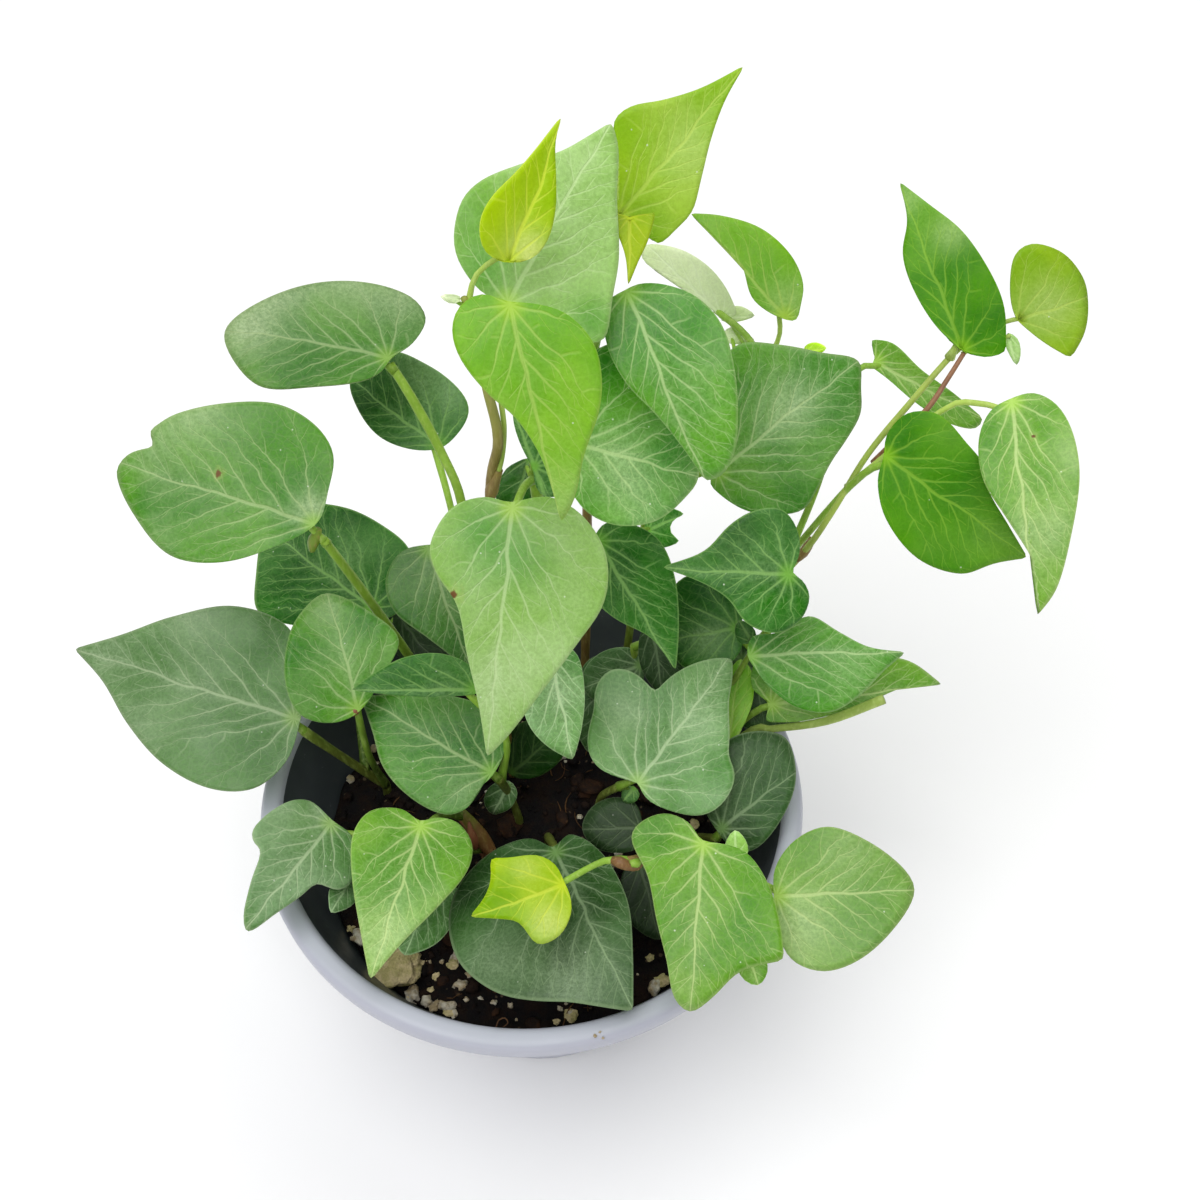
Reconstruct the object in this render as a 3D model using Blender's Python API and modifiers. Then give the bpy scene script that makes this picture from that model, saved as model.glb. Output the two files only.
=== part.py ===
"""Potted ivy: a low round plastic pot, its soil and the leafy stems, in metres, +Z up, on z = 0.

Lengths in the tables are millimetres. A plant point is (u, v, z): the pixel of the 1200 x 1200
photograph that it is seen at, and its height above the table. sight() turns it into a place, with
the camera that the pot's rim gave.
"""

import math
from collections import namedtuple

import bmesh
import bpy
from mathutils import Matrix, Vector

MM = 0.001

# Pot, read off the rim: 120 mm over the rim is the common size that the scale rests on
RIM_RADIUS = 60.0
RIM_HEIGHT = 75.0
LIP_DROP = 5.5
FLANGE_INNER = 56.2
BODY_TOP_RADIUS = 55.0
BASE_RADIUS = 32.5
WALL = 1.3
FLOOR = 1.6
FOOT_CHAMFER = 1.5
DRAIN_HOLES = 4
DRAIN_RADIUS = 4.0
DRAIN_RING = 20.0
TURN_STEPS = 36

# Soil
SOIL_TOP = 55.0
SOIL_CROWN = 1.2
SEAT_GAP = 0.3
ROOT_DEPTH = 12.0

# Blades and stalks
BLADE = 0.8
PETIOLE = 0.8
STEM_SIDES = 1
PETIOLE_SIDES = 0
STALK_STEP = 10.0
SMALL_BLADE = 14.0
EDGE_WAVE = 0.03
WAVES = 3

# Colours
POT_GREY = (0.30, 0.33, 0.38)
SOIL_BROWN = (0.02, 0.015, 0.012)
LEAF_GREEN = (0.06, 0.20, 0.03)

# Camera that the photograph was taken with, in millimetres from the middle of the pot's foot
CAMERA = Vector((15.0, -157.0, 318.0))
PITCH = math.radians(49.0)
FOCAL_PX = 1287.0
MIDDLE_PX = 600.0
FORWARD = Vector((0.0, math.cos(PITCH), -math.sin(PITCH)))
UPWARD = Vector((0.0, math.sin(PITCH), math.cos(PITCH)))
RIGHTWARD = Vector((1.0, 0.0, 0.0))

Leaf = namedtuple("Leaf", "name base tip roll fold arch at via outline")
Stem = namedtuple("Stem", "root radius points leaves")

# Each outline runs from the notch at the stalk round the blade, as pixels of the photograph read by
# eye. Where another leaf hides the edge it is a guess.
STEMS = {
    "stem_centre": Stem(
        (-6, 15), 1.0,
        [
            (493, 640, 105), (490, 495, 147), (498, 440, 162), (486, 385, 175), (474, 330, 186),
            (464, 298, 193),
        ],
        [
            Leaf("young_top", (507, 262, 200), (562, 115, 218), 20, 0.35, 0.04, 1.0, [(477, 274, 197)],
                 "504,261 484,252 477,235 478,214 490,193 512,172 535,147 551,128 562,115 554,140 "
                 "553,175 552,207 545,238 530,258"),
            Leaf("sage_top", (508, 303, 189), (611, 123, 207), 0, 0.08, 0.04, 0.93, [],
                 "505,303 480,291 458,262 453,238 461,203 481,183 520,167 560,154 586,139 611,123 "
                 "617,150 615,200 617,260 611,298 604,340 590,344 560,328 525,312"),
            Leaf("front_top", (510, 305, 199), (561, 523, 169), 0, 0.12, 0.09, 0.97, [],
                 "508,302 482,294 459,307 452,330 461,358 488,391 515,414 540,453 553,492 561,523 "
                 "574,496 583,450 597,408 600,375 592,340 565,312 532,303"),
            Leaf("bud_top", (460, 299, 194), (438, 295, 197), 20, 0.1, 0.0, 1.0, [],
                 "460,302 450,304 438,295 450,294 460,296"),
        ],
    ),
    "stem_upper": Stem(
        (11, 38), 1.1,
        [(587, 572, 100), (588, 403, 150), (600, 300, 172), (610, 240, 183)],
        [
            Leaf("bright_top", (619, 216, 189), (745, 65, 209), 0, 0.1, 0.04, 1.0, [],
                 "616,214 619,165 613,123 630,108 660,102 700,89 745,65 724,102 710,140 700,180 691,213 "
                 "674,231 662,243 653,243 650,222 638,217"),
            Leaf("folded_top", (630, 217, 195), (628, 286, 191), 0, 0.3, 0.0, 1.0, [],
                 "628,216 614,219 618,236 626,258 628,286 639,260 647,240 650,217"),
            Leaf("veined_upper", (627, 292, 185), (706, 482, 160), 0, 0.1, 0.08, 0.8, [],
                 "624,291 608,301 604,325 610,353 628,385 655,413 684,449 706,482 722,475 734,452 "
                 "737,410 733,366 721,325 697,298 665,285 638,284"),
            Leaf("wide_upper", (576, 444, 161), (699, 477, 151), 0, 0.08, 0.07, 0.62, [],
                 "572,444 562,420 575,375 597,348 632,342 668,372 690,420 699,477 682,498 652,519 "
                 "615,524 588,514 574,498 560,465"),
        ],
    ),
    "stem_back": Stem(
        (20, 36), 1.0,
        [(640, 562, 100), (655, 500, 118), (720, 440, 130), (775, 350, 142)],
        [
            Leaf("back_bright", (785, 317, 154), (689, 213, 168), 10, 0.1, 0.06, 1.0, [],
                 "787,320 767,312 751,298 741,266 719,241 689,213 720,217 760,231 790,257 803,285 "
                 "800,308 797,320"),
            Leaf("back_pale", (722, 316, 144), (646, 244, 157), 0, 0.06, 0.05, 0.96, [],
                 "722,322 712,308 696,291 668,276 646,264 640,252 646,244 680,249 708,266 726,288 "
                 "738,314"),
            Leaf("back_edge", (726, 334, 139), (757, 340, 140), 0, 0.1, 0.05, 0.9, [],
                 "722,334 732,326 757,340 735,345 724,341"),
            Leaf("back_fold", (722, 318, 141), (757, 316, 142), 0, 0.1, 0.05, 0.95, [],
                 "720,322 728,308 742,306 757,316 738,322"),
            Leaf("back_wide", (718, 472, 136), (858, 361, 150), 0, 0.08, 0.06, 0.68, [],
                 "712,472 696,450 702,415 716,372 736,347 780,347 822,354 858,361 857,410 834,450 "
                 "818,494 778,514 738,507 708,488"),
            Leaf("bud_back", (806, 352, 145), (828, 348, 149), 0, 0.1, 0.0, 0.98, [],
                 "804,355 805,346 816,342 828,348 816,356"),
        ],
    ),
    "stem_right": Stem(
        (28, 30), 1.1,
        [
            (690, 650, 78), (745, 610, 92), (801, 555, 111), (832, 512, 121), (868, 454, 131),
            (911, 402, 141), (953, 354, 149), (976, 336, 152),
        ],
        [
            Leaf("right_point", (962, 350, 152), (899, 181, 171), 0, 0.12, 0.05, 0.95, [],
                 "960,348 936,327 914,291 904,257 908,222 899,181 930,207 964,236 992,277 1005,310 "
                 "1006,352 984,357"),
            Leaf("right_fan", (1018, 320, 156), (1087, 297, 158), 0, 0.1, 0.05, 1.0, [(998, 324, 155)],
                 "1015,316 1009,290 1012,256 1028,245 1062,254 1082,276 1087,297 1082,332 1068,359 "
                 "1045,345 1026,329"),
            Leaf("bud_right", (1008, 334, 155), (1017, 368, 150), 0, 0.1, 0.0, 0.99, [(992, 339, 153)],
                 "1008,332 1004,342 1010,356 1017,368 1021,355 1018,338"),
            Leaf("right_heart", (886, 456, 136), (1028, 558, 120), 0, 0.1, 0.07, 0.40, [(850, 486, 126)],
                 "884,456 887,435 908,413 938,414 964,442 981,464 985,488 1004,520 1028,558 992,562 "
                 "958,571 914,555 884,517 877,480"),
            Leaf("right_drop", (1012, 402, 149), (1036, 617, 122), 0, 0.1, 0.08, 0.70,
                 [(940, 412, 143), (975, 403, 147)],
                 "1010,399 990,412 979,442 984,482 1008,521 1033,562 1041,597 1036,617 1056,590 1070,540 "
                 "1079,480 1073,436 1057,406 1034,393"),
            Leaf("right_pale", (876, 362, 128), (984, 419, 124), 0, 0.06, 0.05, 0.5, [(872, 385, 127)],
                 "870,366 876,357 870,339 893,343 922,370 955,394 984,419 976,429 948,423 915,402 "
                 "888,379"),
        ],
    ),
    "stem_east": Stem(
        (38, 12), 1.1,
        [(708, 728, 78), (745, 662, 93), (760, 640, 99)],
        [
            Leaf("east_heart", (788, 574, 131), (661, 567, 133), 0, 0.1, 0.07, 0.97, [(790, 600, 116)],
                 "791,573 800,552 796,527 780,509 752,511 727,526 703,551 661,567 702,583 727,599 "
                 "745,623 776,633 801,620 811,597 803,580"),
            Leaf("east_shade", (736, 628, 101), (668, 640, 96), 0, 0.08, 0.05, 0.95, [],
                 "741,628 742,606 722,582 690,575 668,596 663,622 668,640 680,664 706,673 732,662 "
                 "743,645"),
            Leaf("east_low", (750, 656, 105), (906, 652, 108), 0, 0.12, 0.06, 0.95, [],
                 "747,655 752,636 778,633 808,616 838,632 868,647 906,652 884,670 858,696 830,712 "
                 "798,708 770,688 752,664"),
            Leaf("east_under", (772, 704, 88), (943, 685, 93), 0, 0.08, 0.05, 0.35, [(750, 715, 84)],
                 "768,702 752,688 756,662 800,654 862,655 908,661 943,685 905,687 868,702 830,715 "
                 "795,722 765,722"),
            Leaf("east_fold", (727, 757, 80), (741, 657, 91), 0, 0.2, 0.04, 0.35, [],
                 "730,764 719,745 718,710 726,675 741,657 752,672 753,700 744,724 734,738 736,752"),
            Leaf("east_bit", (752, 642, 106), (738, 619, 111), 0, 0.1, 0.0, 0.97, [],
                 "754,642 740,644 734,630 738,619 752,625 757,636"),
        ],
    ),
    "stem_rim": Stem(
        (36, -3), 0.9,
        [(717, 838, 75)],
        [
            Leaf("rim_dark", (722, 828, 78), (796, 772, 86), 0, 0.08, 0.06, 1.0, [],
                 "718,832 704,806 710,768 728,740 758,731 786,738 796,772 790,802 768,838 748,852 "
                 "730,846"),
        ],
    ),
    "stem_front": Stem(
        (28, -5), 1.1,
        [(662, 835, 77), (650, 856, 90), (628, 862, 94)],
        [
            Leaf("front_star", (562, 885, 96), (469, 917, 94), 0, 0.1, 0.05, 1.0, [(604, 861, 94)],
                 "565,884 555,864 536,855 508,858 490,858 491,880 484,898 469,917 500,919 519,922 "
                 "537,944 559,936 571,914 570,895"),
            Leaf("front_lobed", (703, 845, 99), (690, 1012, 87), 0, 0.08, 0.08, 0.75, [],
                 "702,841 688,821 664,812 640,822 631,838 648,877 657,922 667,962 674,998 690,1012 "
                 "712,998 740,972 783,961 779,925 767,884 746,853 718,843"),
            Leaf("front_side", (777, 896, 92), (915, 890, 95), 0, 0.08, 0.06, 0.65, [(735, 872, 87)],
                 "774,897 775,868 795,840 827,827 868,842 904,869 915,890 899,921 862,957 824,971 "
                 "791,959 776,925"),
            Leaf("front_chip", (736, 856, 84), (735, 828, 88), 0, 0.1, 0.0, 0.6, [],
                 "736,859 724,855 726,840 735,828 746,840 748,855"),
            Leaf("front_tip", (748, 955, 82), (759, 987, 80), 0, 0.1, 0.0, 0.6, [],
                 "748,950 736,962 744,981 759,987 768,972 764,955"),
        ],
    ),
    "stem_three": Stem(
        (14.5, 3), 0.9,
        [(598, 808, 66), (603, 795, 76), (620, 786, 84)],
        [
            Leaf("three_lobes", (638, 783, 88), (729, 657, 98), 0, 0.05, 0.04, 1.0, [],
                 "636,787 606,776 588,755 589,722 596,686 614,671 637,677 655,694 672,676 700,659 "
                 "729,657 737,690 731,728 735,768 726,802 702,816 667,804"),
            Leaf("low_dark", (640, 828, 74), (582, 829, 72), 0, 0.08, 0.05, 0.7, [],
                 "643,828 636,803 614,797 592,807 582,829 596,848 622,853 641,846"),
            Leaf("low_bit", (634, 788, 82), (622, 802, 77), 0, 0.1, 0.0, 0.95, [],
                 "634,785 623,787 622,802 634,803 640,794"),
        ],
    ),
    "stem_middle": Stem(
        (3, 25), 1.1,
        [(541, 622, 100), (540, 525, 133), (534, 474, 151)],
        [
            Leaf("front_middle", (512, 508, 156), (487, 758, 119), 0, 0.08, 0.08, 1.0, [],
                 "511,503 485,497 452,507 431,542 437,568 458,600 468,650 479,700 487,758 509,732 "
                 "537,692 574,641 603,598 606,555 585,518 553,498 528,499"),
            Leaf("under_middle", (551, 655, 113), (573, 761, 92), 0, 0.1, 0.05, 0.5, [],
                 "549,650 528,658 520,688 528,721 548,745 573,761 581,726 584,690 578,655 563,645"),
            Leaf("right_middle", (598, 541, 131), (676, 671, 107), 0, 0.08, 0.06, 0.66, [],
                 "595,536 585,558 592,595 614,616 650,636 676,671 677,620 673,575 660,541 636,525 "
                 "606,523"),
            Leaf("dark_middle", (534, 466, 154), (512, 406, 162), 0, 0.08, 0.05, 0.93, [],
                 "534,472 522,448 514,425 512,406 538,420 562,455 566,490 546,498 535,487"),
            Leaf("tip_middle", (648, 530, 122), (686, 514, 126), 0, 0.05, 0.0, 0.7, [],
                 "644,532 650,512 668,507 686,514 672,521 670,533 682,541 664,548 648,545"),
        ],
    ),
    "stem_shade": Stem(
        (22, 22), 0.9,
        [(636, 690, 75), (634, 645, 88)],
        [
            Leaf("shade_left", (640, 665, 84), (583, 688, 76), 0, 0.08, 0.05, 0.9, [],
                 "643,664 632,648 606,650 586,668 583,688 598,702 628,700 643,684"),
            Leaf("shade_right", (652, 628, 93), (664, 702, 82), 0, 0.1, 0.05, 1.0, [],
                 "652,624 640,634 641,668 664,702 682,674 680,640 666,626"),
        ],
    ),
    "stem_left_back": Stem(
        (-14, 29), 1.0,
        [(471, 598, 100), (462, 505, 125), (440, 450, 134), (410, 395, 144), (390, 364, 149)],
        [
            Leaf("left_top", (387, 358, 151), (225, 333, 156), 30, 0.08, 0.05, 1.0, [],
                 "391,358 413,341 426,316 410,297 360,286 305,290 252,310 225,333 236,366 264,391 "
                 "316,391 362,384 382,372"),
            Leaf("left_behind", (438, 445, 127), (350, 378, 132), 0, 0.08, 0.05, 0.5, [(449, 500, 119)],
                 "440,448 462,427 472,402 458,378 424,360 385,352 350,378 357,405 380,437 410,450"),
            Leaf("left_inner", (428, 549, 116), (478, 690, 96), 0, 0.08, 0.06, 0.35, [],
                 "426,545 402,551 386,578 394,611 428,638 455,660 478,690 490,640 482,590 460,556 "
                 "440,545"),
        ],
    ),
    "stem_left_out": Stem(
        (-18, 19), 1.25,
        [(430, 690, 75), (405, 650, 90), (362, 590, 112), (324, 540, 131)],
        [
            Leaf("left_sage", (314, 524, 136), (119, 462, 142), 0, 0.06, 0.05, 1.0, [],
                 "318,522 328,492 334,455 318,427 282,406 232,405 180,416 153,432 158,448 130,455 "
                 "117,472 134,512 174,556 226,563 282,545"),
            Leaf("left_dark", (372, 608, 95), (266, 530, 98), 0, 0.08, 0.05, 0.35, [],
                 "378,610 402,586 411,552 384,527 346,510 300,508 266,530 258,580 262,614 300,628 "
                 "350,624"),
        ],
    ),
    "stem_left_low": Stem(
        (-36, 11), 1.05,
        [(372, 776, 64), (335, 752, 78), (304, 731, 89)],
        [
            Leaf("left_long", (294, 718, 92), (75, 649, 96), 0, 0.06, 0.05, 1.0, [],
                 "299,724 305,680 290,628 238,608 178,619 128,636 75,649 106,682 132,724 168,764 214,789 "
                 "256,789 286,762"),
            Leaf("left_light", (357, 708, 98), (327, 593, 113), 0, 0.08, 0.05, 0.3, [],
                 "360,711 386,671 399,640 378,618 327,593 300,614 287,645 286,685 300,715 332,723"),
        ],
    ),
    "stem_front_left": Stem(
        (-4, 2), 0.95,
        [(508, 792, 70), (498, 778, 83)],
        [
            Leaf("low_sage", (491, 772, 86), (361, 697, 93), 0, 0.08, 0.06, 1.0, [],
                 "493,775 505,748 497,715 462,699 410,694 361,697 374,732 385,768 412,798 446,815 "
                 "468,808 480,788"),
            Leaf("low_fold", (475, 690, 107), (350, 690, 109), 0, 0.15, 0.06, 0.9, [(505, 735, 93)],
                 "480,694 474,669 444,654 406,657 376,672 350,690 392,695 440,697"),
            Leaf("low_shade", (508, 786, 72), (492, 815, 65), 0, 0.08, 0.05, 0.6, [],
                 "509,781 492,784 484,800 492,815 510,808 518,793"),
        ],
    ),
    "stem_front_big": Stem(
        (3, -3), 0.95,
        [(556, 850, 75)],
        [
            Leaf("big_dark", (556, 853, 77), (634, 1012, 80), 0, 0.06, 0.06, 1.0, [],
                 "553,848 526,834 492,846 463,878 452,912 466,946 506,980 560,1001 634,1012 635,960 "
                 "631,910 612,868 588,842 568,832"),
        ],
    ),
    "stem_corner": Stem(
        (-10.5, -9), 1.3,
        [(478, 838, 65), (462, 815, 72)],
        [
            Leaf("corner_heart", (420, 827, 86), (370, 981, 81), 0, 0.08, 0.08, 1.0, [],
                 "420,821 402,808 370,812 352,838 351,882 360,935 370,981 398,949 438,909 466,874 "
                 "472,845 458,821 436,816"),
            Leaf("corner_lobed", (330, 824, 84), (244, 931, 86), 0, 0.08, 0.06, 0.7, [(395, 838, 76)],
                 "333,821 318,803 288,802 260,822 250,840 262,856 257,885 244,931 284,911 322,887 "
                 "340,889 355,876 355,840"),
            Leaf("corner_dark", (438, 875, 71), (404, 957, 67), 0, 0.08, 0.05, 0.62, [],
                 "440,870 418,880 402,908 392,935 404,957 434,946 452,925 458,900 453,880"),
            Leaf("corner_bit", (352, 876, 77), (330, 914, 80), 0, 0.08, 0.04, 0.65, [],
                 "356,872 340,878 328,892 330,914 350,908 360,892"),
        ],
    ),
}
CUT_STALK = [(752, 730, 79), (770, 729, 82), (826, 721, 88), (884, 699, 95)]
CUT_STALK_RADIUS = 1.0


def sight(point):
    """The place that this (u, v, z) is at, in millimetres."""
    u, v, z = point
    ray = FORWARD + RIGHTWARD * ((u - MIDDLE_PX) / FOCAL_PX) + UPWARD * ((MIDDLE_PX - v) / FOCAL_PX)
    return CAMERA + ray * ((z - CAMERA.z) / ray.z)


def smooth_path(points, step):
    """Points about this far apart on a Catmull-Rom curve through these."""
    ends = [2 * points[0] - points[1]] + points + [2 * points[-1] - points[-2]]
    path = [points[0]]
    for before, start, end, after in zip(ends, ends[1:], ends[2:], ends[3:]):
        count = max(1, round((end - start).length / step))
        for i in range(1, count + 1):
            t = i / count
            path.append(
                0.5
                * (
                    2 * start
                    + (end - before) * t
                    + (2 * before - 5 * start + 4 * end - after) * t**2
                    + (3 * start - 3 * end + after - before) * t**3
                )
            )
    return path


def point_at(path, fraction):
    """The point at this fraction of the path's length, and the path's direction there."""
    lengths = [(b - a).length for a, b in zip(path, path[1:])]
    left = fraction * sum(lengths)
    for a, b, length in zip(path, path[1:], lengths):
        if left <= length:
            break
        left -= length
    return a.lerp(b, min(1.0, left / length)), (b - a).normalized()


def new_object(name, mesh, collection):
    found = bpy.data.objects.new(name, mesh)
    collection.objects.link(found)
    return found


def stalk(name, path, radius_start, radius_end, sides, collection):
    """A round stalk along the path, as a closed mesh."""
    curve = bpy.data.curves.new(name, "CURVE")
    curve.dimensions = "3D"
    curve.bevel_depth = 1.0 * MM
    curve.bevel_resolution = sides
    curve.use_fill_caps = True
    spline = curve.splines.new("POLY")
    spline.points.add(len(path) - 1)
    for i, (target, place) in enumerate(zip(spline.points, path)):
        target.co = (*(place * MM), 1.0)
        target.radius = radius_start + (radius_end - radius_start) * i / (len(path) - 1)
    guide = bpy.data.objects.new(name + "_guide", curve)
    collection.objects.link(guide)
    bpy.context.view_layer.update()
    graph = bpy.context.evaluated_depsgraph_get()
    mesh = bpy.data.meshes.new_from_object(guide.evaluated_get(graph))
    bpy.data.objects.remove(guide)
    mesh.name = name
    sewn = bmesh.new()
    sewn.from_mesh(mesh)
    bmesh.ops.remove_doubles(sewn, verts=sewn.verts, dist=0.00001)
    bmesh.ops.recalc_face_normals(sewn, faces=sewn.faces)
    sewn.to_mesh(mesh)
    sewn.free()
    return new_object(name, mesh, collection)


def leaf_axes(leaf):
    """The blade's foot, length and directions: to the tip, across, and out of its upper face."""
    base, tip = sight(leaf.base), sight(leaf.tip)
    along = (tip - base).normalized()
    outward = (CAMERA - (base + tip) / 2).normalized()
    outward = (outward - along * outward.dot(along)).normalized()
    outward = Matrix.Rotation(math.radians(leaf.roll), 3, along) @ outward
    return base, (tip - base).length, along, outward.cross(along), outward


def leaf_outline(leaf):
    """The outline's points in the blade's flat, in millimetres along it and across it."""
    base, length, along, across, outward = leaf_axes(leaf)
    found = []
    for pair in leaf.outline.split():
        u, v = (float(value) for value in pair.split(","))
        ray = sight((u, v, 0)) - CAMERA
        place = CAMERA + ray * ((base - CAMERA).dot(outward) / ray.dot(outward)) - base
        found.append((place.dot(along), place.dot(across)))
    return found


def leaf_rise(leaf, length, half, x, y):
    """How far the blade stands out of its flat here: its fold, its arch and its waved edge."""
    x, y = x / length, y / half
    turn = math.atan2(y, x - 0.1)
    rise = leaf.fold * half * (math.sqrt(y * y + 0.01) - 0.1 - 0.5 * y * y)
    rise += leaf.arch * length * 4 * x * (1 - x)
    return rise + EDGE_WAVE * half * math.sin(WAVES * turn + len(leaf.name)) * (x * x + y * y)


def leaf_blade(leaf, collection):
    """A blade: a fan and a ring of triangles, alike on both faces, given its thickness by Solidify."""
    base, length, along, across, outward = leaf_axes(leaf)
    outline = leaf_outline(leaf)
    half = max(abs(y) for x, y in outline)
    blade = bmesh.new()
    rings = []
    for reach in (0.5, 1.0) if length > SMALL_BLADE else (1.0,):
        ring = []
        for x, y in outline:
            rise = leaf_rise(leaf, length, half, x * reach, y * reach)
            place = base + along * x * reach + across * y * reach + outward * rise
            ring.append(blade.verts.new(place * MM))
        rings.append(ring)
    centre = blade.verts.new(base * MM)
    for i in range(len(outline)):
        j = (i + 1) % len(outline)
        blade.faces.new((centre, rings[0][j], rings[0][i]))
        for inner, outer in zip(rings, rings[1:]):
            blade.faces.new((inner[i], inner[j], outer[j]))
            blade.faces.new((inner[i], outer[j], outer[i]))
    bmesh.ops.recalc_face_normals(blade, faces=blade.faces)
    mesh = bpy.data.meshes.new(leaf.name)
    blade.to_mesh(mesh)
    blade.free()
    made = new_object(leaf.name, mesh, collection)
    thickness = made.modifiers.new("blade", "SOLIDIFY")
    thickness.thickness = BLADE * MM
    thickness.offset = 0.0
    return made


def leaf_stalk(leaf, stem_path, collection):
    """The petiole, from inside the stem to a little way under the blade."""
    start, heading = point_at(stem_path, min(leaf.at, 0.985))
    base, length, along, across, outward = leaf_axes(leaf)
    half = max(abs(y) for x, y in leaf_outline(leaf))
    inside = min(2.0, 0.15 * length)
    end = base + along * inside + outward * (leaf_rise(leaf, length, half, inside, 0.0) - 0.1)
    reach = (end - start).length
    points = [start]
    if leaf.via:
        points += [sight(place) for place in leaf.via]
    elif reach > 9.0:
        early = start + (heading + (end - start).normalized()).normalized() * reach * 0.3
        late = end - (along * 0.5 + (end - start).normalized()).normalized() * reach * 0.3
        points += [early.lerp(late, 0.5)]
    points.append(end)
    radius = min(PETIOLE, 0.2 + length / 30)
    path = smooth_path(points, STALK_STEP)
    return stalk(leaf.name + "_stalk", path, radius * 1.15, radius, PETIOLE_SIDES, collection)


def fuse(body, others):
    """Joins the objects of this collection to the body, then removes them."""
    for solver in ("EXACT", "MANIFOLD"):
        join = body.modifiers.new("join", "BOOLEAN")
        join.operation = "UNION"
        join.operand_type = "COLLECTION"
        join.collection = others
        join.solver = solver
        bpy.context.view_layer.update()
        shape = body.evaluated_get(bpy.context.evaluated_depsgraph_get())
        mesh = bpy.data.meshes.new_from_object(shape)
        body.modifiers.remove(join)
        if closed(mesh):
            break
    drop_slivers(mesh)
    body.data = mesh
    for other in list(others.objects):
        bpy.data.objects.remove(other)
    bpy.data.collections.remove(others)


def closed(mesh):
    tested = bmesh.new()
    tested.from_mesh(mesh)
    found = all(edge.is_manifold for edge in tested.edges)
    tested.free()
    return found


def drop_slivers(mesh):
    """Keeps the largest body of the mesh: where two blades cross, a Boolean can leave specks."""
    shape = bmesh.new()
    shape.from_mesh(mesh)
    left = set(shape.verts)
    bodies = []
    while left:
        reached = {left.pop()}
        edge = list(reached)
        while edge:
            near = {link.other_vert(vert) for vert in edge for link in vert.link_edges} & left
            left -= near
            reached |= near
            edge = list(near)
        bodies.append(reached)
    bodies.sort(key=len)
    for specks in bodies[:-1]:
        bmesh.ops.delete(shape, geom=list(specks), context="VERTS")
    shape.to_mesh(mesh)
    shape.free()


def stem_path(stem):
    """The stem's own path, upright where it stands in the soil."""
    x, y = stem.root
    foot = Vector((x, y, SOIL_TOP - ROOT_DEPTH))
    collar = Vector((x, y, SOIL_TOP + 2.5))
    return [foot] + smooth_path([collar] + [sight(place) for place in stem.points], STALK_STEP)


def leafy_stem(name, stem, collection, scene):
    path = stem_path(stem)
    body = stalk(name, path, stem.radius * 1.1, stem.radius * 0.9, STEM_SIDES, collection)
    others = bpy.data.collections.new(name + "_leaves")
    scene.collection.children.link(others)
    for leaf in stem.leaves:
        leaf_stalk(leaf, path, others)
        leaf_blade(leaf, others)
    if name == "stem_east":
        start = point_at(path, 0.3)[0]
        points = [start] + [sight(place) for place in CUT_STALK]
        path = smooth_path(points, STALK_STEP)
        end_radius = CUT_STALK_RADIUS * 0.85
        stalk("cut_stalk", path, CUT_STALK_RADIUS, end_radius, PETIOLE_SIDES, others)
    fuse(body, others)
    return body


def turned(name, profile, collection):
    """A solid of revolution: this closed profile of (radius, height) points, turned about +Z by a Screw."""
    mesh = bpy.data.meshes.new(name)
    points = [(r * MM, 0.0, z * MM) for r, z in profile]
    edges = [(i, i + 1) for i in range(len(points) - 1)]
    mesh.from_pydata(points, edges, [])
    made = new_object(name, mesh, collection)
    turn = made.modifiers.new("turn", "SCREW")
    turn.steps = TURN_STEPS
    turn.render_steps = TURN_STEPS
    turn.use_merge_vertices = True
    turn.merge_threshold = 0.00001
    turn.use_normal_calculate = True
    bpy.context.view_layer.update()
    graph = bpy.context.evaluated_depsgraph_get()
    shape = bpy.data.meshes.new_from_object(made.evaluated_get(graph))
    made.modifiers.clear()
    sewn = bmesh.new()
    sewn.from_mesh(shape)
    bmesh.ops.remove_doubles(sewn, verts=sewn.verts, dist=0.00001)
    bmesh.ops.recalc_face_normals(sewn, faces=sewn.faces)
    sewn.to_mesh(shape)
    sewn.free()
    made.data = shape
    return made


def body_radius(z):
    """The pot's outer radius at this height, below the collar."""
    collar = RIM_HEIGHT - LIP_DROP
    return BASE_RADIUS + (BODY_TOP_RADIUS - BASE_RADIUS) * z / collar


def pot_profile():
    """From the middle of the floor's upper face out over the rim and back under the foot."""
    collar = RIM_HEIGHT - LIP_DROP
    return [
        (0, FLOOR),
        (body_radius(FLOOR) - WALL - 1.2, FLOOR),
        (body_radius(FLOOR + 1.4) - WALL, FLOOR + 1.4),
        (body_radius(collar) - WALL, collar),
        (FLANGE_INNER - 0.9, RIM_HEIGHT - 1.6),
        (FLANGE_INNER - 0.2, RIM_HEIGHT - 0.45),
        (FLANGE_INNER + 0.9, RIM_HEIGHT),
        (RIM_RADIUS - 1.6, RIM_HEIGHT),
        (RIM_RADIUS - 0.5, RIM_HEIGHT - 0.5),
        (RIM_RADIUS, RIM_HEIGHT - 1.6),
        (RIM_RADIUS - 0.3, RIM_HEIGHT - LIP_DROP + 0.5),
        (RIM_RADIUS - 0.9, RIM_HEIGHT - LIP_DROP),
        (body_radius(collar), collar),
        (body_radius(FOOT_CHAMFER), FOOT_CHAMFER),
        (body_radius(0) - FOOT_CHAMFER, 0),
        (0, 0),
    ]


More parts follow.
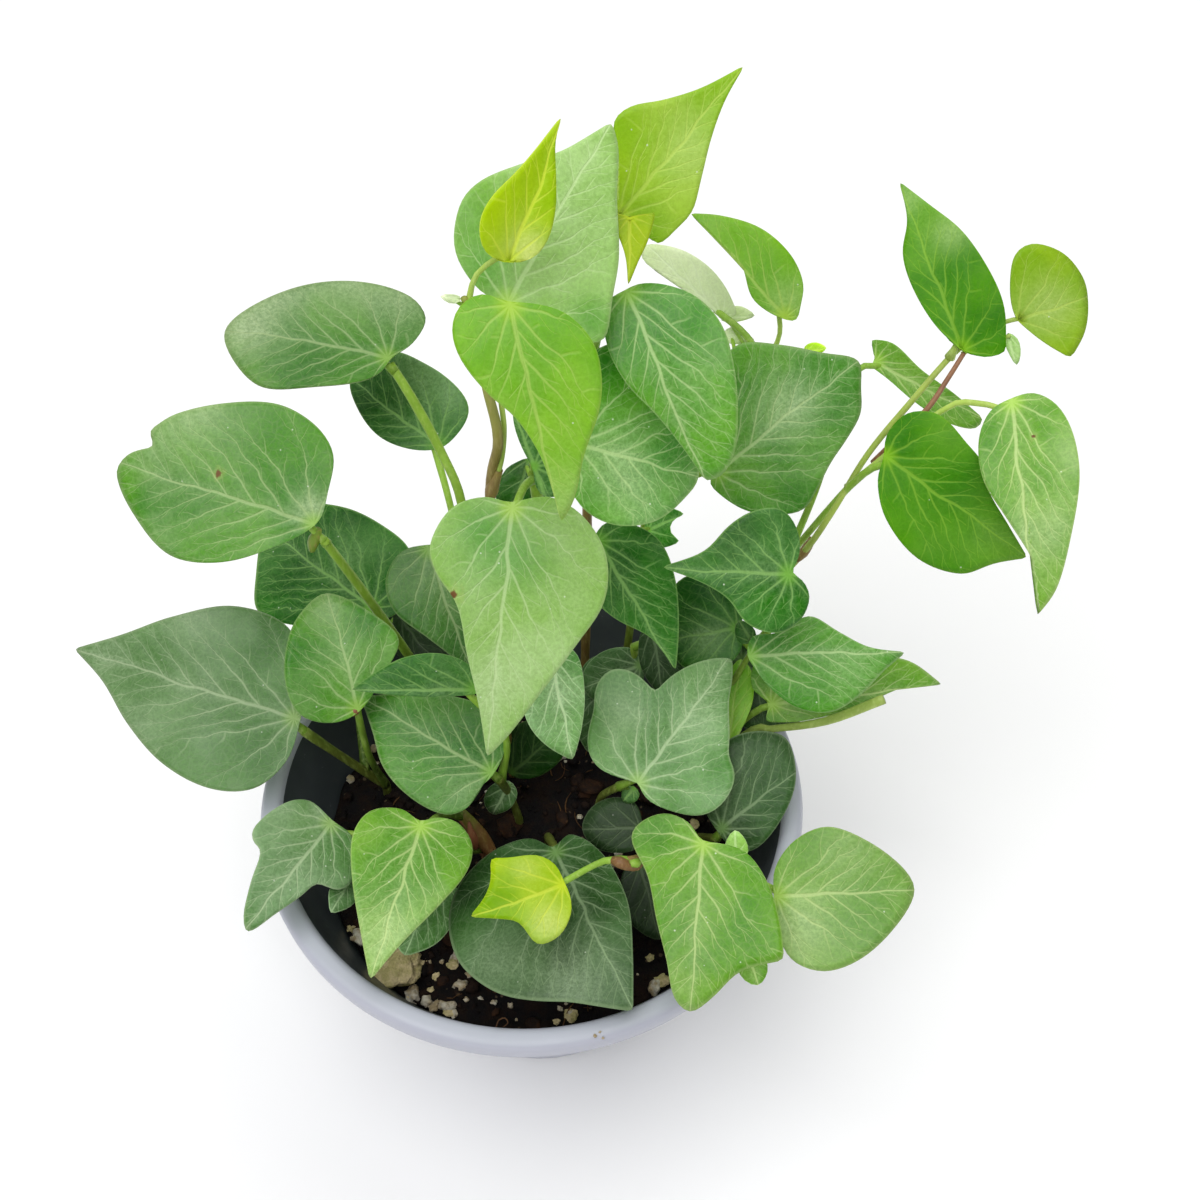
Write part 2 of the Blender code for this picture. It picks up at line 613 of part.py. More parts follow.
def soil_profile():
    """The filling: it stands on the floor and follows the wall, a seat gap off both."""
    inside = WALL + SEAT_GAP
    return [
        (0, SOIL_TOP + SOIL_CROWN),
        (20, SOIL_TOP + 0.8 * SOIL_CROWN),
        (40, SOIL_TOP + 0.3 * SOIL_CROWN),
        (body_radius(SOIL_TOP) - inside - 0.6, SOIL_TOP - 0.3),
        (body_radius(SOIL_TOP - 1.5) - inside, SOIL_TOP - 1.5),
        (body_radius(FLOOR + 2.2) - inside, FLOOR + 2.2),
        (body_radius(FLOOR) - inside - 2.2, FLOOR + SEAT_GAP),
        (0, FLOOR + SEAT_GAP),
    ]


def cylinder(name, radius, low, high, place, collection):
    bpy.ops.mesh.primitive_cylinder_add(
        vertices=8,
        radius=radius * MM,
        depth=(high - low) * MM,
        location=(place[0] * MM, place[1] * MM, (low + high) / 2 * MM),
    )
    made = bpy.context.object
    made.name = name
    for owner in list(made.users_collection):
        owner.objects.unlink(made)
    collection.objects.link(made)
    made.hide_render = True
    made.display_type = "WIRE"
    return made


def cut(body, cutters):
    """Takes the objects of this collection out of the body."""
    away = body.modifiers.new("holes", "BOOLEAN")
    away.operation = "DIFFERENCE"
    away.operand_type = "COLLECTION"
    away.collection = cutters
    away.solver = "EXACT"


def material(name, colour, roughness):
    made = bpy.data.materials.new(name)
    made.use_nodes = True
    shader = made.node_tree.nodes["Principled BSDF"]
    shader.inputs["Base Color"].default_value = (*colour, 1.0)
    shader.inputs["Roughness"].default_value = roughness
    return made


def dress(body, look, smooth_angle):
    body.data.materials.clear()
    body.data.materials.append(look)
    for face in body.data.polygons:
        face.use_smooth = True
    body.data.set_sharp_from_angle(angle=math.radians(smooth_angle))


def main():
    for old in list(bpy.data.objects):
        bpy.data.objects.remove(old)
    scene = bpy.context.scene
    plant = bpy.data.collections.new("potted_ivy")
    cutters = bpy.data.collections.new("cutters")
    drains = bpy.data.collections.new("drains")
    for group in (plant, cutters, drains):
        scene.collection.children.link(group)

    pot = turned("pot", pot_profile(), plant)
    soil = turned("soil", soil_profile(), plant)
    for i in range(DRAIN_HOLES):
        turn = 2 * math.pi * (i + 0.5) / DRAIN_HOLES
        place = (DRAIN_RING * math.cos(turn), DRAIN_RING * math.sin(turn))
        cylinder(f"drain_{i + 1}", DRAIN_RADIUS, -2, FLOOR + 2, place, drains)
    cut(pot, drains)
    dress(pot, material("pot_plastic", POT_GREY, 0.45), 40)
    dress(soil, material("soil_mix", SOIL_BROWN, 0.95), 60)

    for name, stem in STEMS.items():
        dress(leafy_stem(name, stem, plant, scene), material(name + "_green", LEAF_GREEN, 0.4), 50)
        hole = stem.radius * 1.1 + SEAT_GAP
        low = SOIL_TOP - ROOT_DEPTH - SEAT_GAP
        cylinder(name + "_hole", hole, low, SOIL_TOP + 5, stem.root, cutters)
    cut(soil, cutters)


main()
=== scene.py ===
"""Looks of the potted ivy: veined leaves, stalks, pot, soil, floor, light and camera, in metres, +Z up.

The leafy stems follow the part's own table, with some blades and strands more. A plant point is (u, v, z),
the pixel of the 1200 x 1200 photograph that it is seen at and its height above the table in millimetres.
"""

import math
import random
from collections import namedtuple

import bmesh
import bpy
from mathutils import Matrix, Vector, noise


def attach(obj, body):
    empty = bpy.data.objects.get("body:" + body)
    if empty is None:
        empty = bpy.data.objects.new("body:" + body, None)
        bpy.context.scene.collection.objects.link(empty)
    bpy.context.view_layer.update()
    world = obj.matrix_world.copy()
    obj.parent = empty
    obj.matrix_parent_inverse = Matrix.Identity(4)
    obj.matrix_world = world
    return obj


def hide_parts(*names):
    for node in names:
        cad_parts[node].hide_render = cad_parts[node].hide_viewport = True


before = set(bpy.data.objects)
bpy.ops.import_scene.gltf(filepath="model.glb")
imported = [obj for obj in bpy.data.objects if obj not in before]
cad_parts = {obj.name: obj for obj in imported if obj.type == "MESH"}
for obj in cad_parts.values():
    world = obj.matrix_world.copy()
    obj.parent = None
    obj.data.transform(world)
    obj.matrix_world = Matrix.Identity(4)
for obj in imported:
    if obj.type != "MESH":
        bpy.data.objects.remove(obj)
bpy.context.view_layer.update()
bpy.ops.object.select_all(action="DESELECT")

MM = 0.001
SEED = 11

# Pot and soil, as in the part, in millimetres
RIM_RADIUS = 60.0
RIM_HEIGHT = 75.0
LIP_DROP = 5.5
COLLAR = RIM_HEIGHT - LIP_DROP
FLANGE_INNER = 56.2
BODY_TOP_RADIUS = 55.0
BASE_RADIUS = 32.5
WALL = 1.3
FLOOR = 1.6
FOOT_CHAMFER = 1.5
DRAIN_HOLES = 4
DRAIN_RADIUS = 4.0
DRAIN_RING = 20.0
DRAIN_SIDES = 32
TURN_STEPS = 144
SOIL_TOP = 55.0
SOIL_CROWN = 1.2
SOIL_RINGS = 56
SEAT_GAP = 0.3
ROOT_DEPTH = 12.0
UPRIGHT = 2.5

# The pot's inside faces, painted dark as painted shade, look inwards at least this much, below the rim's
# inner edge
INWARD = -0.3
INSIDE_TOP = RIM_HEIGHT - 1.7
POT_EDGE = math.radians(38)

# Clods of the soil's surface: waves in each millimetre, layers, height, how far they are sunk
CLOD_SCALE = 0.11
CLOD_LAYERS = 4
CLOD_HEIGHT = 1.5
CLOD_SINK = 0.8

# Blades. Thickness, steps between points and the length of a small blade are in millimetres; waves and folds
# are shares of the blade's half width
BLADE = 0.36
EDGE_WAVE = 0.03
WAVES = 3
WAVE_CENTRE = 0.1
FOLD_SOFTNESS = 0.01
RIM_STEP = 1.25
RING_STEP = 2.4
RING_EASE = 0.9
LEAST_RINGS = 3
SMALL_RINGS = 4
SMALL_BLADE = 14.0
SHARP_TURN = math.radians(78)
SEED_RANGE = 900

# Stalks. Radii, steps and lengths are in millimetres, the others are shares. A petiole leaves the stem with a
# swollen foot and ends a little way under the blade
PETIOLE = 0.8
LEAST_PETIOLE = 0.2
LENGTH_PER_RADIUS = 30
PETIOLE_SWELL = (1.45, 1.05, 0.95, 0.95, 1.0, 0.9)
LAST_FOOT = 0.985
STALK_INSIDE = 2.0
INSIDE_SHARE = 0.15
UNDER_BLADE = 0.75
LONG_STALK = 9.0
BEND_SHARE = 0.3
BEND_LEAN = 0.5
STALK_STEP = 2.5
STALK_SIDES = 3
STEM_PARTS = 9
STEM_VARIATION = (0.94, 1.1)
WELD = 0.00001

# Camera that the photograph was taken with, in millimetres from the middle of the pot's foot
CAMERA = Vector((15.0, -157.0, 318.0))
PITCH = math.radians(49.0)
FOCAL_PX = 1287.0
PICTURE_PX = 1200.0
MIDDLE_PX = PICTURE_PX / 2
SENSOR = 36.0
FORWARD = Vector((0.0, math.cos(PITCH), -math.sin(PITCH)))
UPWARD = Vector((0.0, math.sin(PITCH), math.cos(PITCH)))
RIGHTWARD = Vector((1.0, 0.0, 0.0))

# Floor and light: sizes and places in metres, power in watts
FLOOR_SIZE = 6.0
SKY_STRENGTH = 0.34
LIGHT_AIM = Vector((0, 0, 0.1))
LIGHTS = [("key_light", (-0.55, -0.75, 2.45), 2.5, 53.0), ("fill_light", (0.5, 1.3, 2.2), 2.4, 21.0)]

Stem = namedtuple("Stem", "root radii bark points leaves")
Leaf = namedtuple(
    "Leaf",
    "name finish light base tip roll fold arch at via outline tones stalk slim scar",
    defaults=[(), "petiole", 1.0, None],
)
Finish = namedtuple("Finish", "body patch vein under foot veins net roughness shine margin")
Strewn = namedtuple("Strewn", "name material lumps seed step squash detail count low high rise")

# How much of the painted sheen in random pale patches and of the pale wash along the veins shows on an upper
# face, and the whitish colour of both
SHEEN_PATCH_SHARE = 0.3
HALO = 0.65
SHEEN = (214, 222, 206)
MOST_SHEEN = 0.9
# How much painted shade takes from red, green and blue
SHADE_TAKES = (1.6, 0.95, 1.7)
FOOT_GLOW = 0.55
MARGIN_BAND = (0.972, 0.995)
GRAIN_RANGE = (0.3, 0.7)
SPECK = (226, 234, 214)
SPECK_STRENGTH = 0.55
SCAR = (112, 78, 40)
SCAR_EDGE = (200, 206, 120)
SCAR_EDGE_STRENGTH = 0.15
UNDERSIDE_ROUGHNESS = 0.6
VEIN_DEPTH = 0.4 * MM
VEIN_RELIEF = 0.28

# Each kind of leaf. Colours are red, green and blue out of 255, as the eye reads them
FINISHES = {
    "young": Finish((172, 208, 0), (138, 188, 0), (222, 238, 76), (196, 222, 50), (206, 232, 30),
                    0.6, 0.08, 0.34, 0.12, 0.1),
    "lime": Finish((154, 196, 24), (132, 182, 12), (202, 226, 104), (182, 210, 96), (194, 220, 56),
                   0.42, 0.1, 0.36, 0.15, 0.1),
    "bright": Finish((124, 186, 20), (100, 168, 8), (190, 218, 112), (160, 198, 92), (172, 212, 44),
                     0.45, 0.12, 0.36, 0.2, 0.2),
    "pale": Finish((148, 187, 104), (124, 172, 64), (196, 220, 160), (172, 202, 140), (168, 208, 56),
                   0.48, 0.16, 0.4, 0.25, 0.2),
    "fresh": Finish((86, 152, 22), (56, 130, 2), (186, 212, 146), (150, 182, 120), (146, 198, 44),
                    0.55, 0.2, 0.38, 0.25, 0.25),
    "spring": Finish((104, 156, 34), (74, 136, 8), (194, 214, 142), (156, 182, 120), (152, 198, 44),
                     0.55, 0.18, 0.38, 0.25, 0.25),
    "vivid": Finish((80, 149, 0), (54, 128, 0), (158, 204, 70), (130, 176, 70), (140, 196, 24),
                    0.4, 0.1, 0.36, 0.08, 0.15),
    "mid": Finish((72, 136, 26), (44, 116, 4), (178, 204, 142), (132, 168, 108), (130, 188, 44),
                  0.58, 0.22, 0.38, 0.2, 0.3),
    "sage": Finish((100, 144, 78), (70, 122, 44), (184, 206, 160), (152, 178, 142), (146, 188, 80),
                   0.6, 0.2, 0.42, 0.25, 0.3),
    "deep": Finish((36, 106, 4), (14, 82, 0), (144, 188, 104), (100, 142, 82), (104, 168, 34),
                   0.55, 0.22, 0.4, 0.2, 0.4),
    "dusk": Finish((52, 93, 34), (28, 68, 12), (156, 182, 136), (100, 136, 88), (102, 150, 52),
                   0.56, 0.2, 0.42, 0.18, 0.45),
    "thin": Finish((206, 218, 176), (190, 208, 152), (220, 230, 200), (206, 218, 176), (214, 226, 180),
                   0.3, 0.1, 0.5, 0.3, 0.1),
}

# Skins of stems and petioles: colour near the soil, colour above, streaks, and the two heights in
# millimetres that the one turns into the other between
STALK_SKINS = {
    "petiole": ((88, 116, 36), (142, 184, 62), (186, 208, 120), (66, 94)),
    "stalk_pale": ((158, 182, 88), (176, 204, 92), (206, 224, 140), (80, 120)),
    "stem_green": ((98, 108, 40), (134, 172, 54), (172, 196, 100), (74, 104)),
    "stem_pale": ((112, 116, 50), (166, 188, 84), (190, 204, 126), (82, 112)),
    "stem_brown": ((142, 116, 64), (152, 160, 74), (186, 170, 112), (140, 190)),
    "stem_red": ((146, 92, 62), (146, 104, 76), (178, 146, 108), (60, 160)),
    "joint": ((128, 92, 56), (140, 104, 64), (176, 150, 100), (60, 160)),
    "sheath": ((132, 92, 52), (122, 150, 48), (176, 150, 96), (64, 78)),
}

# The pot's plastic: its two close tones, the rim's top, and how rough it is; the inside one is painted dark
# as painted shade
POT_SKINS = {
    "pot_outside": ((180, 182, 195), (188, 190, 202), (176, 180, 190), 0.42),
    "pot_inside": ((58, 64, 68), (76, 82, 86), (132, 136, 142), 0.4),
}
DUST = (206, 206, 204)

# Soil and the brown things in it: dark, warm, flecks; the near-black of the soil and its crumbs is partly
# painted shade
SOIL_MIXES = {
    "soil_mix": ((11, 8, 9), (34, 24, 19), (120, 104, 82)),
    "soil_crumb": ((14, 10, 10), (44, 31, 24), (110, 92, 70)),
    "bark": ((34, 23, 18), (66, 44, 30), (112, 84, 56)),
    "fibre": ((70, 48, 30), (112, 82, 52), (150, 122, 86)),
}

# Stones: pale, stained
STONES = {
    "perlite": ((214, 208, 190), (164, 146, 112)),
    "pebble": ((214, 196, 150), (176, 166, 110)),
}

# Each leafy stem: where it stands, its radii from foot to end, its bark, its points and its leaves.
# A leaf has a finish and how light it is of its kind, the points of its foot and tip, its roll in degrees,
# its fold and arch, how far up the stem its petiole starts, the points that this runs through, and the
# outline from the notch at the petiole round the blade, as pixels read, a guess where it is hidden.
# Tones above 0 are painted sheen and tones below 0 painted shade: pixel, reach in millimetres, strength. A
# scar is a
# pixel and a radius in millimetres. Six small leaves are not in the part and show only between the large
# ones:
# east_dark, middle_dark, tip_shade, gap_shade, inner_shade and front_shade.
# How light a leaf is of its kind is partly its own colour and partly painted light and painted shade for how
# lit it is.
# The six small leaves stand in deep shade and are coloured dark as painted shade.
STEMS = {
    "stem_centre": Stem((-6, 15), [1.0, 1.05, 0.95, 1.1, 0.95, 0.9, 0.6], "stem_brown", [
        (493, 640, 105), (490, 495, 147), (498, 440, 162), (486, 385, 175), (474, 330, 186),
        (464, 298, 193),
    ], [
        Leaf("young_top", "young", 1.02, (507, 262, 200), (562, 115, 218), 20, 0.35, 0.04, 1.0,
             [(477, 274, 197)],
             "504,261 484,252 477,235 478,214 490,193 512,172 535,147 551,128 562,115 554,140 553,175 "
             "552,207 545,238 530,258",
             tones=[(527, 253, 3.6, 0.8), (541, 150, 5, -0.12)], stalk="stalk_pale", slim=0.6),
        Leaf("sage_top", "pale", 1.18, (508, 303, 189), (611, 123, 207), 0, 0.08, 0.04, 0.93, [],
             "505,303 480,291 458,262 453,238 461,203 481,183 520,167 560,154 586,139 611,123 617,150 "
             "615,200 617,260 611,298 604,340 590,344 560,328 525,312",
             tones=[(469, 216, 7, -0.22), (591, 322, 4, -0.35), (484, 272, 5, -0.3), (590, 200, 9, 0.15)]),
        Leaf("front_top", "bright", 1.0, (510, 305, 199), (561, 523, 169), 0, 0.12, 0.09, 0.97, [],
             "508,302 482,294 459,307 452,330 461,358 488,391 515,414 540,453 553,492 561,523 574,496 "
             "583,450 597,408 600,375 592,340 565,312 532,303",
             tones=[(566, 500, 6, 0.3), (575, 322, 6, -0.12), (600, 170, 7, -0.1), (478, 330, 5, 0.05)]),
        Leaf("bud_top", "thin", 1.5, (460, 299, 194), (438, 295, 197), 20, 0.1, 0.0, 1.0, [],
             "460,302 450,304 438,295 450,294 460,296"),
    ]),
    "stem_upper": Stem((11, 38), [1.1] * STEM_PARTS, "stem_brown", [
        (587, 572, 100), (588, 403, 150), (600, 300, 172), (610, 240, 183),
    ], [
        Leaf("bright_top", "lime", 1.0, (619, 216, 189), (745, 65, 209), 0, 0.1, 0.04, 1.0, [],
             "616,214 619,165 613,123 630,108 660,102 700,89 745,65 724,102 710,140 700,180 691,213 "
             "674,231 662,243 653,243 650,222 638,217",
             tones=[(690, 150, 7, 0.25), (636, 225, 5, -0.15)]),
        Leaf("folded_top", "young", 0.68, (630, 217, 195), (628, 286, 191), 0, 0.3, 0.0, 1.0, [],
             "632,220 618,222 603,211 610,224 619,238 626,258 628,286 638,262 648,242 656,214 644,218"),
        Leaf("veined_upper", "fresh", 1.16, (627, 292, 185), (706, 482, 160), 0, 0.1, 0.08, 0.8, [],
             "624,291 608,301 604,325 610,353 628,385 655,413 684,449 706,482 722,475 734,452 737,410 "
             "733,366 721,325 697,298 665,285 638,284",
             tones=[(619, 348, 6, -0.3), (700, 400, 6, 0.08), (650, 300, 5, -0.12), (668, 345, 7, -0.18)]),
        Leaf("wide_upper", "fresh", 1.48, (576, 444, 161), (699, 477, 151), 0, 0.08, 0.07, 0.62, [],
             "572,444 562,420 575,375 597,348 632,342 668,372 690,420 699,477 682,498 652,519 615,524 "
             "588,514 574,498 560,465",
             tones=[(668, 452, 7, -0.45), (606, 364, 7, -0.4), (625, 465, 8, 0.3), (640, 512, 5, 0.15)]),
    ]),
    "stem_back": Stem((20, 36), [1.0] * STEM_PARTS, "stem_green", [
        (640, 562, 100), (655, 500, 118), (720, 440, 130), (775, 350, 142),
    ], [
        Leaf("back_bright", "bright", 0.95, (785, 317, 154), (689, 213, 168), 10, 0.1, 0.06, 1.0, [],
             "787,320 767,312 751,298 741,266 719,241 689,213 720,217 760,231 790,257 803,285 800,308 "
             "797,320",
             tones=[(790, 300, 5, 0.3), (735, 245, 6, -0.12)], stalk="stalk_pale", slim=0.7),
        Leaf("back_pale", "thin", 1.25, (722, 316, 144), (646, 244, 157), 0, 0.06, 0.05, 0.96, [],
             "722,322 712,308 696,291 668,276 646,264 640,252 646,244 680,249 708,266 726,288 738,314"),
        Leaf("back_edge", "thin", 1.35, (726, 334, 139), (757, 340, 140), 0, 0.1, 0.05, 0.9, [],
             "722,334 732,326 757,340 735,345 724,341"),
        Leaf("back_fold", "thin", 1.35, (722, 318, 141), (757, 316, 142), 0, 0.1, 0.05, 0.95, [],
             "720,322 728,308 742,306 757,316 738,322"),
        Leaf("back_wide", "fresh", 0.94, (718, 472, 136), (858, 361, 150), 0, 0.08, 0.06, 0.68, [],
             "712,472 696,450 702,415 716,372 736,347 780,347 822,354 858,361 859,390 858,415 843,442 "
             "828,464 814,492 802,510 780,515 744,510 710,484",
             tones=[(789, 408, 7, 0.4), (840, 420, 7, -0.25), (800, 495, 6, -0.25), (730, 385, 5, -0.2)]),
        Leaf("bud_back", "lime", 1.9, (806, 352, 145), (828, 348, 149), 0, 0.1, 0.0, 0.98, [],
             "804,355 805,346 816,342 828,348 816,356"),
    ]),
    "stem_right": Stem((28, 30), [1.0, 0.95, 0.9, 0.78, 0.7, 0.66, 0.62], "stem_pale", [
        (690, 650, 78), (745, 610, 92), (801, 555, 111), (832, 512, 121), (868, 454, 131), (911, 402, 141),
        (953, 354, 149), (976, 336, 152),
    ], [
        Leaf("right_point", "vivid", 0.98, (962, 350, 152), (899, 181, 171), 0, 0.12, 0.05, 0.95, [],
             "960,348 936,327 914,291 904,257 908,222 899,181 930,207 964,236 992,277 1005,310 1006,352 "
             "984,357",
             tones=[(952, 236, 4, 0.45), (908, 200, 4, 0.45), (990, 318, 5, -0.22), (930, 300, 5, -0.12)],
             stalk="stalk_pale"),
        Leaf("right_fan", "lime", 0.86, (1018, 320, 156), (1087, 297, 158), 0, 0.1, 0.05, 1.0,
             [(998, 324, 155)],
             "1015,316 1009,290 1012,256 1028,245 1062,254 1082,276 1087,297 1082,332 1068,359 1045,345 "
             "1026,329",
             tones=[(1046, 308, 6, 0.35)], stalk="stalk_pale", slim=0.7),
        Leaf("bud_right", "pale", 1.25, (1008, 334, 155), (1017, 368, 150), 0, 0.1, 0.0, 0.99,
             [(992, 339, 153)],
             "1008,332 1004,342 1010,356 1017,368 1021,355 1018,338",
             stalk="stalk_pale", slim=0.6),
        Leaf("right_heart", "vivid", 1.0, (886, 456, 136), (1028, 558, 120), 0, 0.1, 0.07, 0.4,
             [(850, 486, 126)],
             "884,456 887,435 908,413 938,414 964,442 981,464 985,488 1004,520 1028,558 992,562 958,571 "
             "914,555 884,517 877,480",
             tones=[(945, 485, 9, -0.3), (905, 445, 5, -0.15), (990, 530, 6, 0.08)]),
        Leaf("right_drop", "spring", 1.24, (1012, 402, 149), (1036, 617, 122), 0, 0.1, 0.08, 0.7,
             [(940, 412, 143), (975, 403, 147)],
             "1010,399 990,412 979,442 984,482 1008,521 1033,562 1041,597 1036,617 1056,590 1070,540 "
             "1079,480 1073,436 1057,406 1034,393",
             tones=[(1040, 530, 7, 0.2), (990, 460, 5, -0.22), (1012, 430, 6, -0.15), (1074, 455, 4, 0.12)],
             scar=(1033, 438, 0.5), stalk="stalk_pale", slim=0.8),
        Leaf("right_pale", "spring", 1.22, (876, 362, 128), (984, 419, 124), 0, 0.06, 0.05, 0.5,
             [(815, 492, 117), (836, 425, 123), (856, 371, 127)],
             "870,366 876,357 870,339 893,343 922,370 955,394 984,419 976,429 948,423 915,402 888,379"),
    ]),
    "stem_east": Stem((38, 12), [1.0, 0.9, 0.8, 0.7, 0.65], "stem_green", [
        (708, 728, 78), (745, 662, 93), (760, 640, 99),
    ], [
        Leaf("east_heart", "deep", 1.2, (788, 574, 131), (661, 567, 133), 0, 0.1, 0.07, 0.97,
             [(790, 600, 116)],
             "791,573 800,552 796,527 780,509 752,511 727,526 703,551 661,567 702,583 727,599 745,623 "
             "776,633 801,620 811,597 803,580",
             tones=[(752, 556, 5, 0.12), (780, 620, 4, -0.12), (735, 530, 6, -0.2), (740, 575, 6, -0.1)]),
        Leaf("east_shade", "deep", 0.88, (736, 628, 101), (668, 640, 96), 0, 0.08, 0.05, 0.95, [],
             "741,628 742,606 722,582 690,575 668,596 663,622 668,640 680,664 706,673 732,662 743,645",
             tones=[(706, 640, 4, 0.35), (680, 600, 6, -0.25)]),
        Leaf("east_low", "mid", 1.22, (750, 656, 105), (906, 652, 108), 0, 0.12, 0.06, 0.95, [],
             "747,655 752,636 778,633 808,616 838,632 868,647 906,652 884,670 858,696 830,712 798,708 "
             "770,688 752,664",
             tones=[(776, 640, 4, -0.35), (850, 668, 6, 0.12), (812, 690, 5, -0.2)]),
        Leaf("east_under", "spring", 1.08, (772, 704, 88), (943, 685, 93), 0, 0.08, 0.05, 0.35,
             [(750, 715, 84)],
             "768,702 752,688 756,662 800,654 862,655 908,661 943,685 905,687 868,702 830,715 795,722 "
             "765,722"),
        Leaf("east_fold", "bright", 1.0, (727, 757, 80), (741, 657, 91), 0, 0.2, 0.04, 0.35, [],
             "730,764 719,745 718,710 726,675 741,657 752,672 753,700 744,724 734,738 736,752"),
        Leaf("east_bit", "deep", 0.64, (752, 642, 106), (738, 619, 111), 0, 0.1, 0.0, 0.97, [],
             "754,642 740,644 734,630 738,619 752,625 757,636"),
        Leaf("east_dark", "dusk", 0.7, (742, 660, 88), (799, 716, 81), 0, 0.05, 0.04, 0.5, [],
             "734,652 744,641 760,648 796,680 812,698 808,716 788,726 762,730 744,728 735,700 732,675"),
    ]),
    "stem_rim": Stem((36, -3), [0.9] * STEM_PARTS, "stem_green", [
        (717, 838, 75),
    ], [
        Leaf("rim_dark", "dusk", 0.8, (722, 828, 78), (796, 772, 86), 0, 0.08, 0.06, 1.0, [],
             "718,832 704,806 710,768 728,740 758,731 786,738 796,772 790,802 768,838 748,852 730,846",
             tones=[(770, 800, 7, -0.3), (715, 780, 5, 0.2)]),
    ]),
    "stem_front": Stem((28, -5), [1.1] * STEM_PARTS, "stem_brown", [
        (662, 835, 77), (650, 856, 90), (628, 862, 94),
    ], [
        Leaf("front_star", "young", 0.86, (562, 885, 96), (469, 917, 94), 0, 0.1, 0.05, 1.0,
             [(604, 861, 94)],
             "565,884 555,864 536,855 508,858 490,858 491,880 484,898 469,917 500,919 519,922 537,944 "
             "559,936 571,914 570,895",
             tones=[(548, 925, 4, 0.6), (525, 868, 3, 0.35), (500, 897, 4, -0.15), (562, 893, 3, -0.1)],
             slim=0.85),
        Leaf("front_lobed", "spring", 1.08, (703, 845, 99), (690, 1012, 87), 0, 0.08, 0.08, 0.75, [],
             "702,841 688,821 664,812 640,822 631,838 648,877 657,922 667,962 674,998 690,1012 712,998 "
             "740,972 783,961 779,925 767,884 746,853 718,843",
             tones=[(652, 832, 5, -0.2), (697, 905, 8, -0.1), (760, 930, 6, -0.12), (610, 935, 4, -0.1)]),
        Leaf("front_side", "spring", 1.03, (777, 896, 92), (915, 890, 95), 0, 0.08, 0.06, 0.65,
             [(735, 872, 87)],
             "774,897 775,868 795,840 827,827 868,842 904,869 915,890 899,921 862,957 824,971 791,959 "
             "776,925",
             tones=[(872, 900, 8, -0.22), (806, 846, 6, -0.2), (798, 928, 6, 0.35), (842, 862, 6, 0.15)]),
        Leaf("front_chip", "pale", 1.5, (736, 856, 84), (735, 828, 88), 0, 0.1, 0.0, 0.6, [],
             "736,859 724,855 726,840 735,828 746,840 748,855"),
        Leaf("front_tip", "spring", 1.6, (748, 955, 82), (759, 987, 80), 0, 0.1, 0.0, 0.6, [],
             "748,950 736,962 744,981 759,987 768,972 764,955"),
        Leaf("front_shade", "dusk", 0.3, (640, 866, 70), (660, 940, 63), 0, 0.06, 0.04, 0.3, [],
             "640,862 628,864 620,884 624,914 640,932 660,940 676,924 682,896 672,870 656,862"),
    ]),
    "stem_three": Stem((14.5, 3), [0.9] * STEM_PARTS, "stem_green", [
        (598, 808, 66), (603, 795, 76), (620, 786, 84),
    ], [
        Leaf("three_lobes", "sage", 1.27, (638, 783, 88), (729, 657, 98), 0, 0.05, 0.04, 1.0, [],
             "637,782 626,775 610,774 596,765 588,750 588,732 593,712 595,690 604,676 618,671 636,677 "
             "654,694 670,678 692,665 716,658 733,658 732,680 728,702 728,740 727,757 733,774 730,791 "
             "720,806 708,814 692,816 674,812 656,805 645,797",
             tones=[(654, 700, 4, -0.15), (624, 716, 5, 0.25), (702, 716, 6, 0.2), (718, 772, 5, -0.15),
                    (662, 758, 5, -0.12), (720, 672, 5, 0.15)]),
        Leaf("low_dark", "dusk", 0.44, (640, 828, 74), (582, 829, 72), 0, 0.08, 0.05, 0.7, [],
             "643,828 636,803 614,797 592,807 582,829 596,848 622,853 641,846"),
        Leaf("low_bit", "deep", 1.6, (634, 788, 82), (622, 802, 77), 0, 0.1, 0.0, 0.95, [],
             "634,785 623,787 622,802 634,803 640,794"),
    ]),
    "stem_middle": Stem((3, 25), [1.1] * STEM_PARTS, "stem_green", [
        (541, 622, 100), (540, 525, 133), (534, 474, 151),
    ], [
        Leaf("front_middle", "pale", 1.07, (512, 508, 156), (487, 758, 119), 0, 0.08, 0.08, 1.0, [],
             "511,503 485,497 452,507 431,542 437,568 458,600 468,650 479,700 487,758 509,732 537,692 "
             "574,641 603,598 606,555 585,518 553,498 528,499",
             tones=[(494, 545, 7, -0.3), (530, 560, 5, -0.18), (478, 522, 4, -0.18), (570, 600, 8, 0.1),
                    (500, 680, 9, 0.28)], scar=(454, 590, 1.05)),
        Leaf("under_middle", "sage", 2.0, (551, 655, 113), (573, 761, 92), 0, 0.1, 0.05, 0.5, [],
             "549,650 528,658 520,688 528,721 548,745 573,761 581,726 584,690 578,655 563,645",
             tones=[(560, 690, 5, 0.2), (575, 655, 4, -0.3)]),
        Leaf("right_middle", "deep", 1.28, (598, 541, 131), (676, 671, 107), 0, 0.08, 0.06, 0.66, [],
             "595,536 585,558 592,595 614,616 650,636 676,671 677,620 673,575 660,541 636,525 606,523",
             tones=[(600, 560, 5, -0.3), (640, 600, 6, -0.12)]),
        Leaf("dark_middle", "deep", 1.42, (534, 466, 154), (512, 406, 162), 0, 0.08, 0.05, 0.93, [],
             "534,472 522,448 514,425 512,406 538,420 562,455 566,490 546,498 535,487"),
        Leaf("tip_middle", "deep", 2.1, (648, 530, 122), (686, 514, 126), 0, 0.05, 0.0, 0.7, [],
             "644,532 650,512 668,507 686,514 672,521 670,533 682,541 664,548 648,545"),
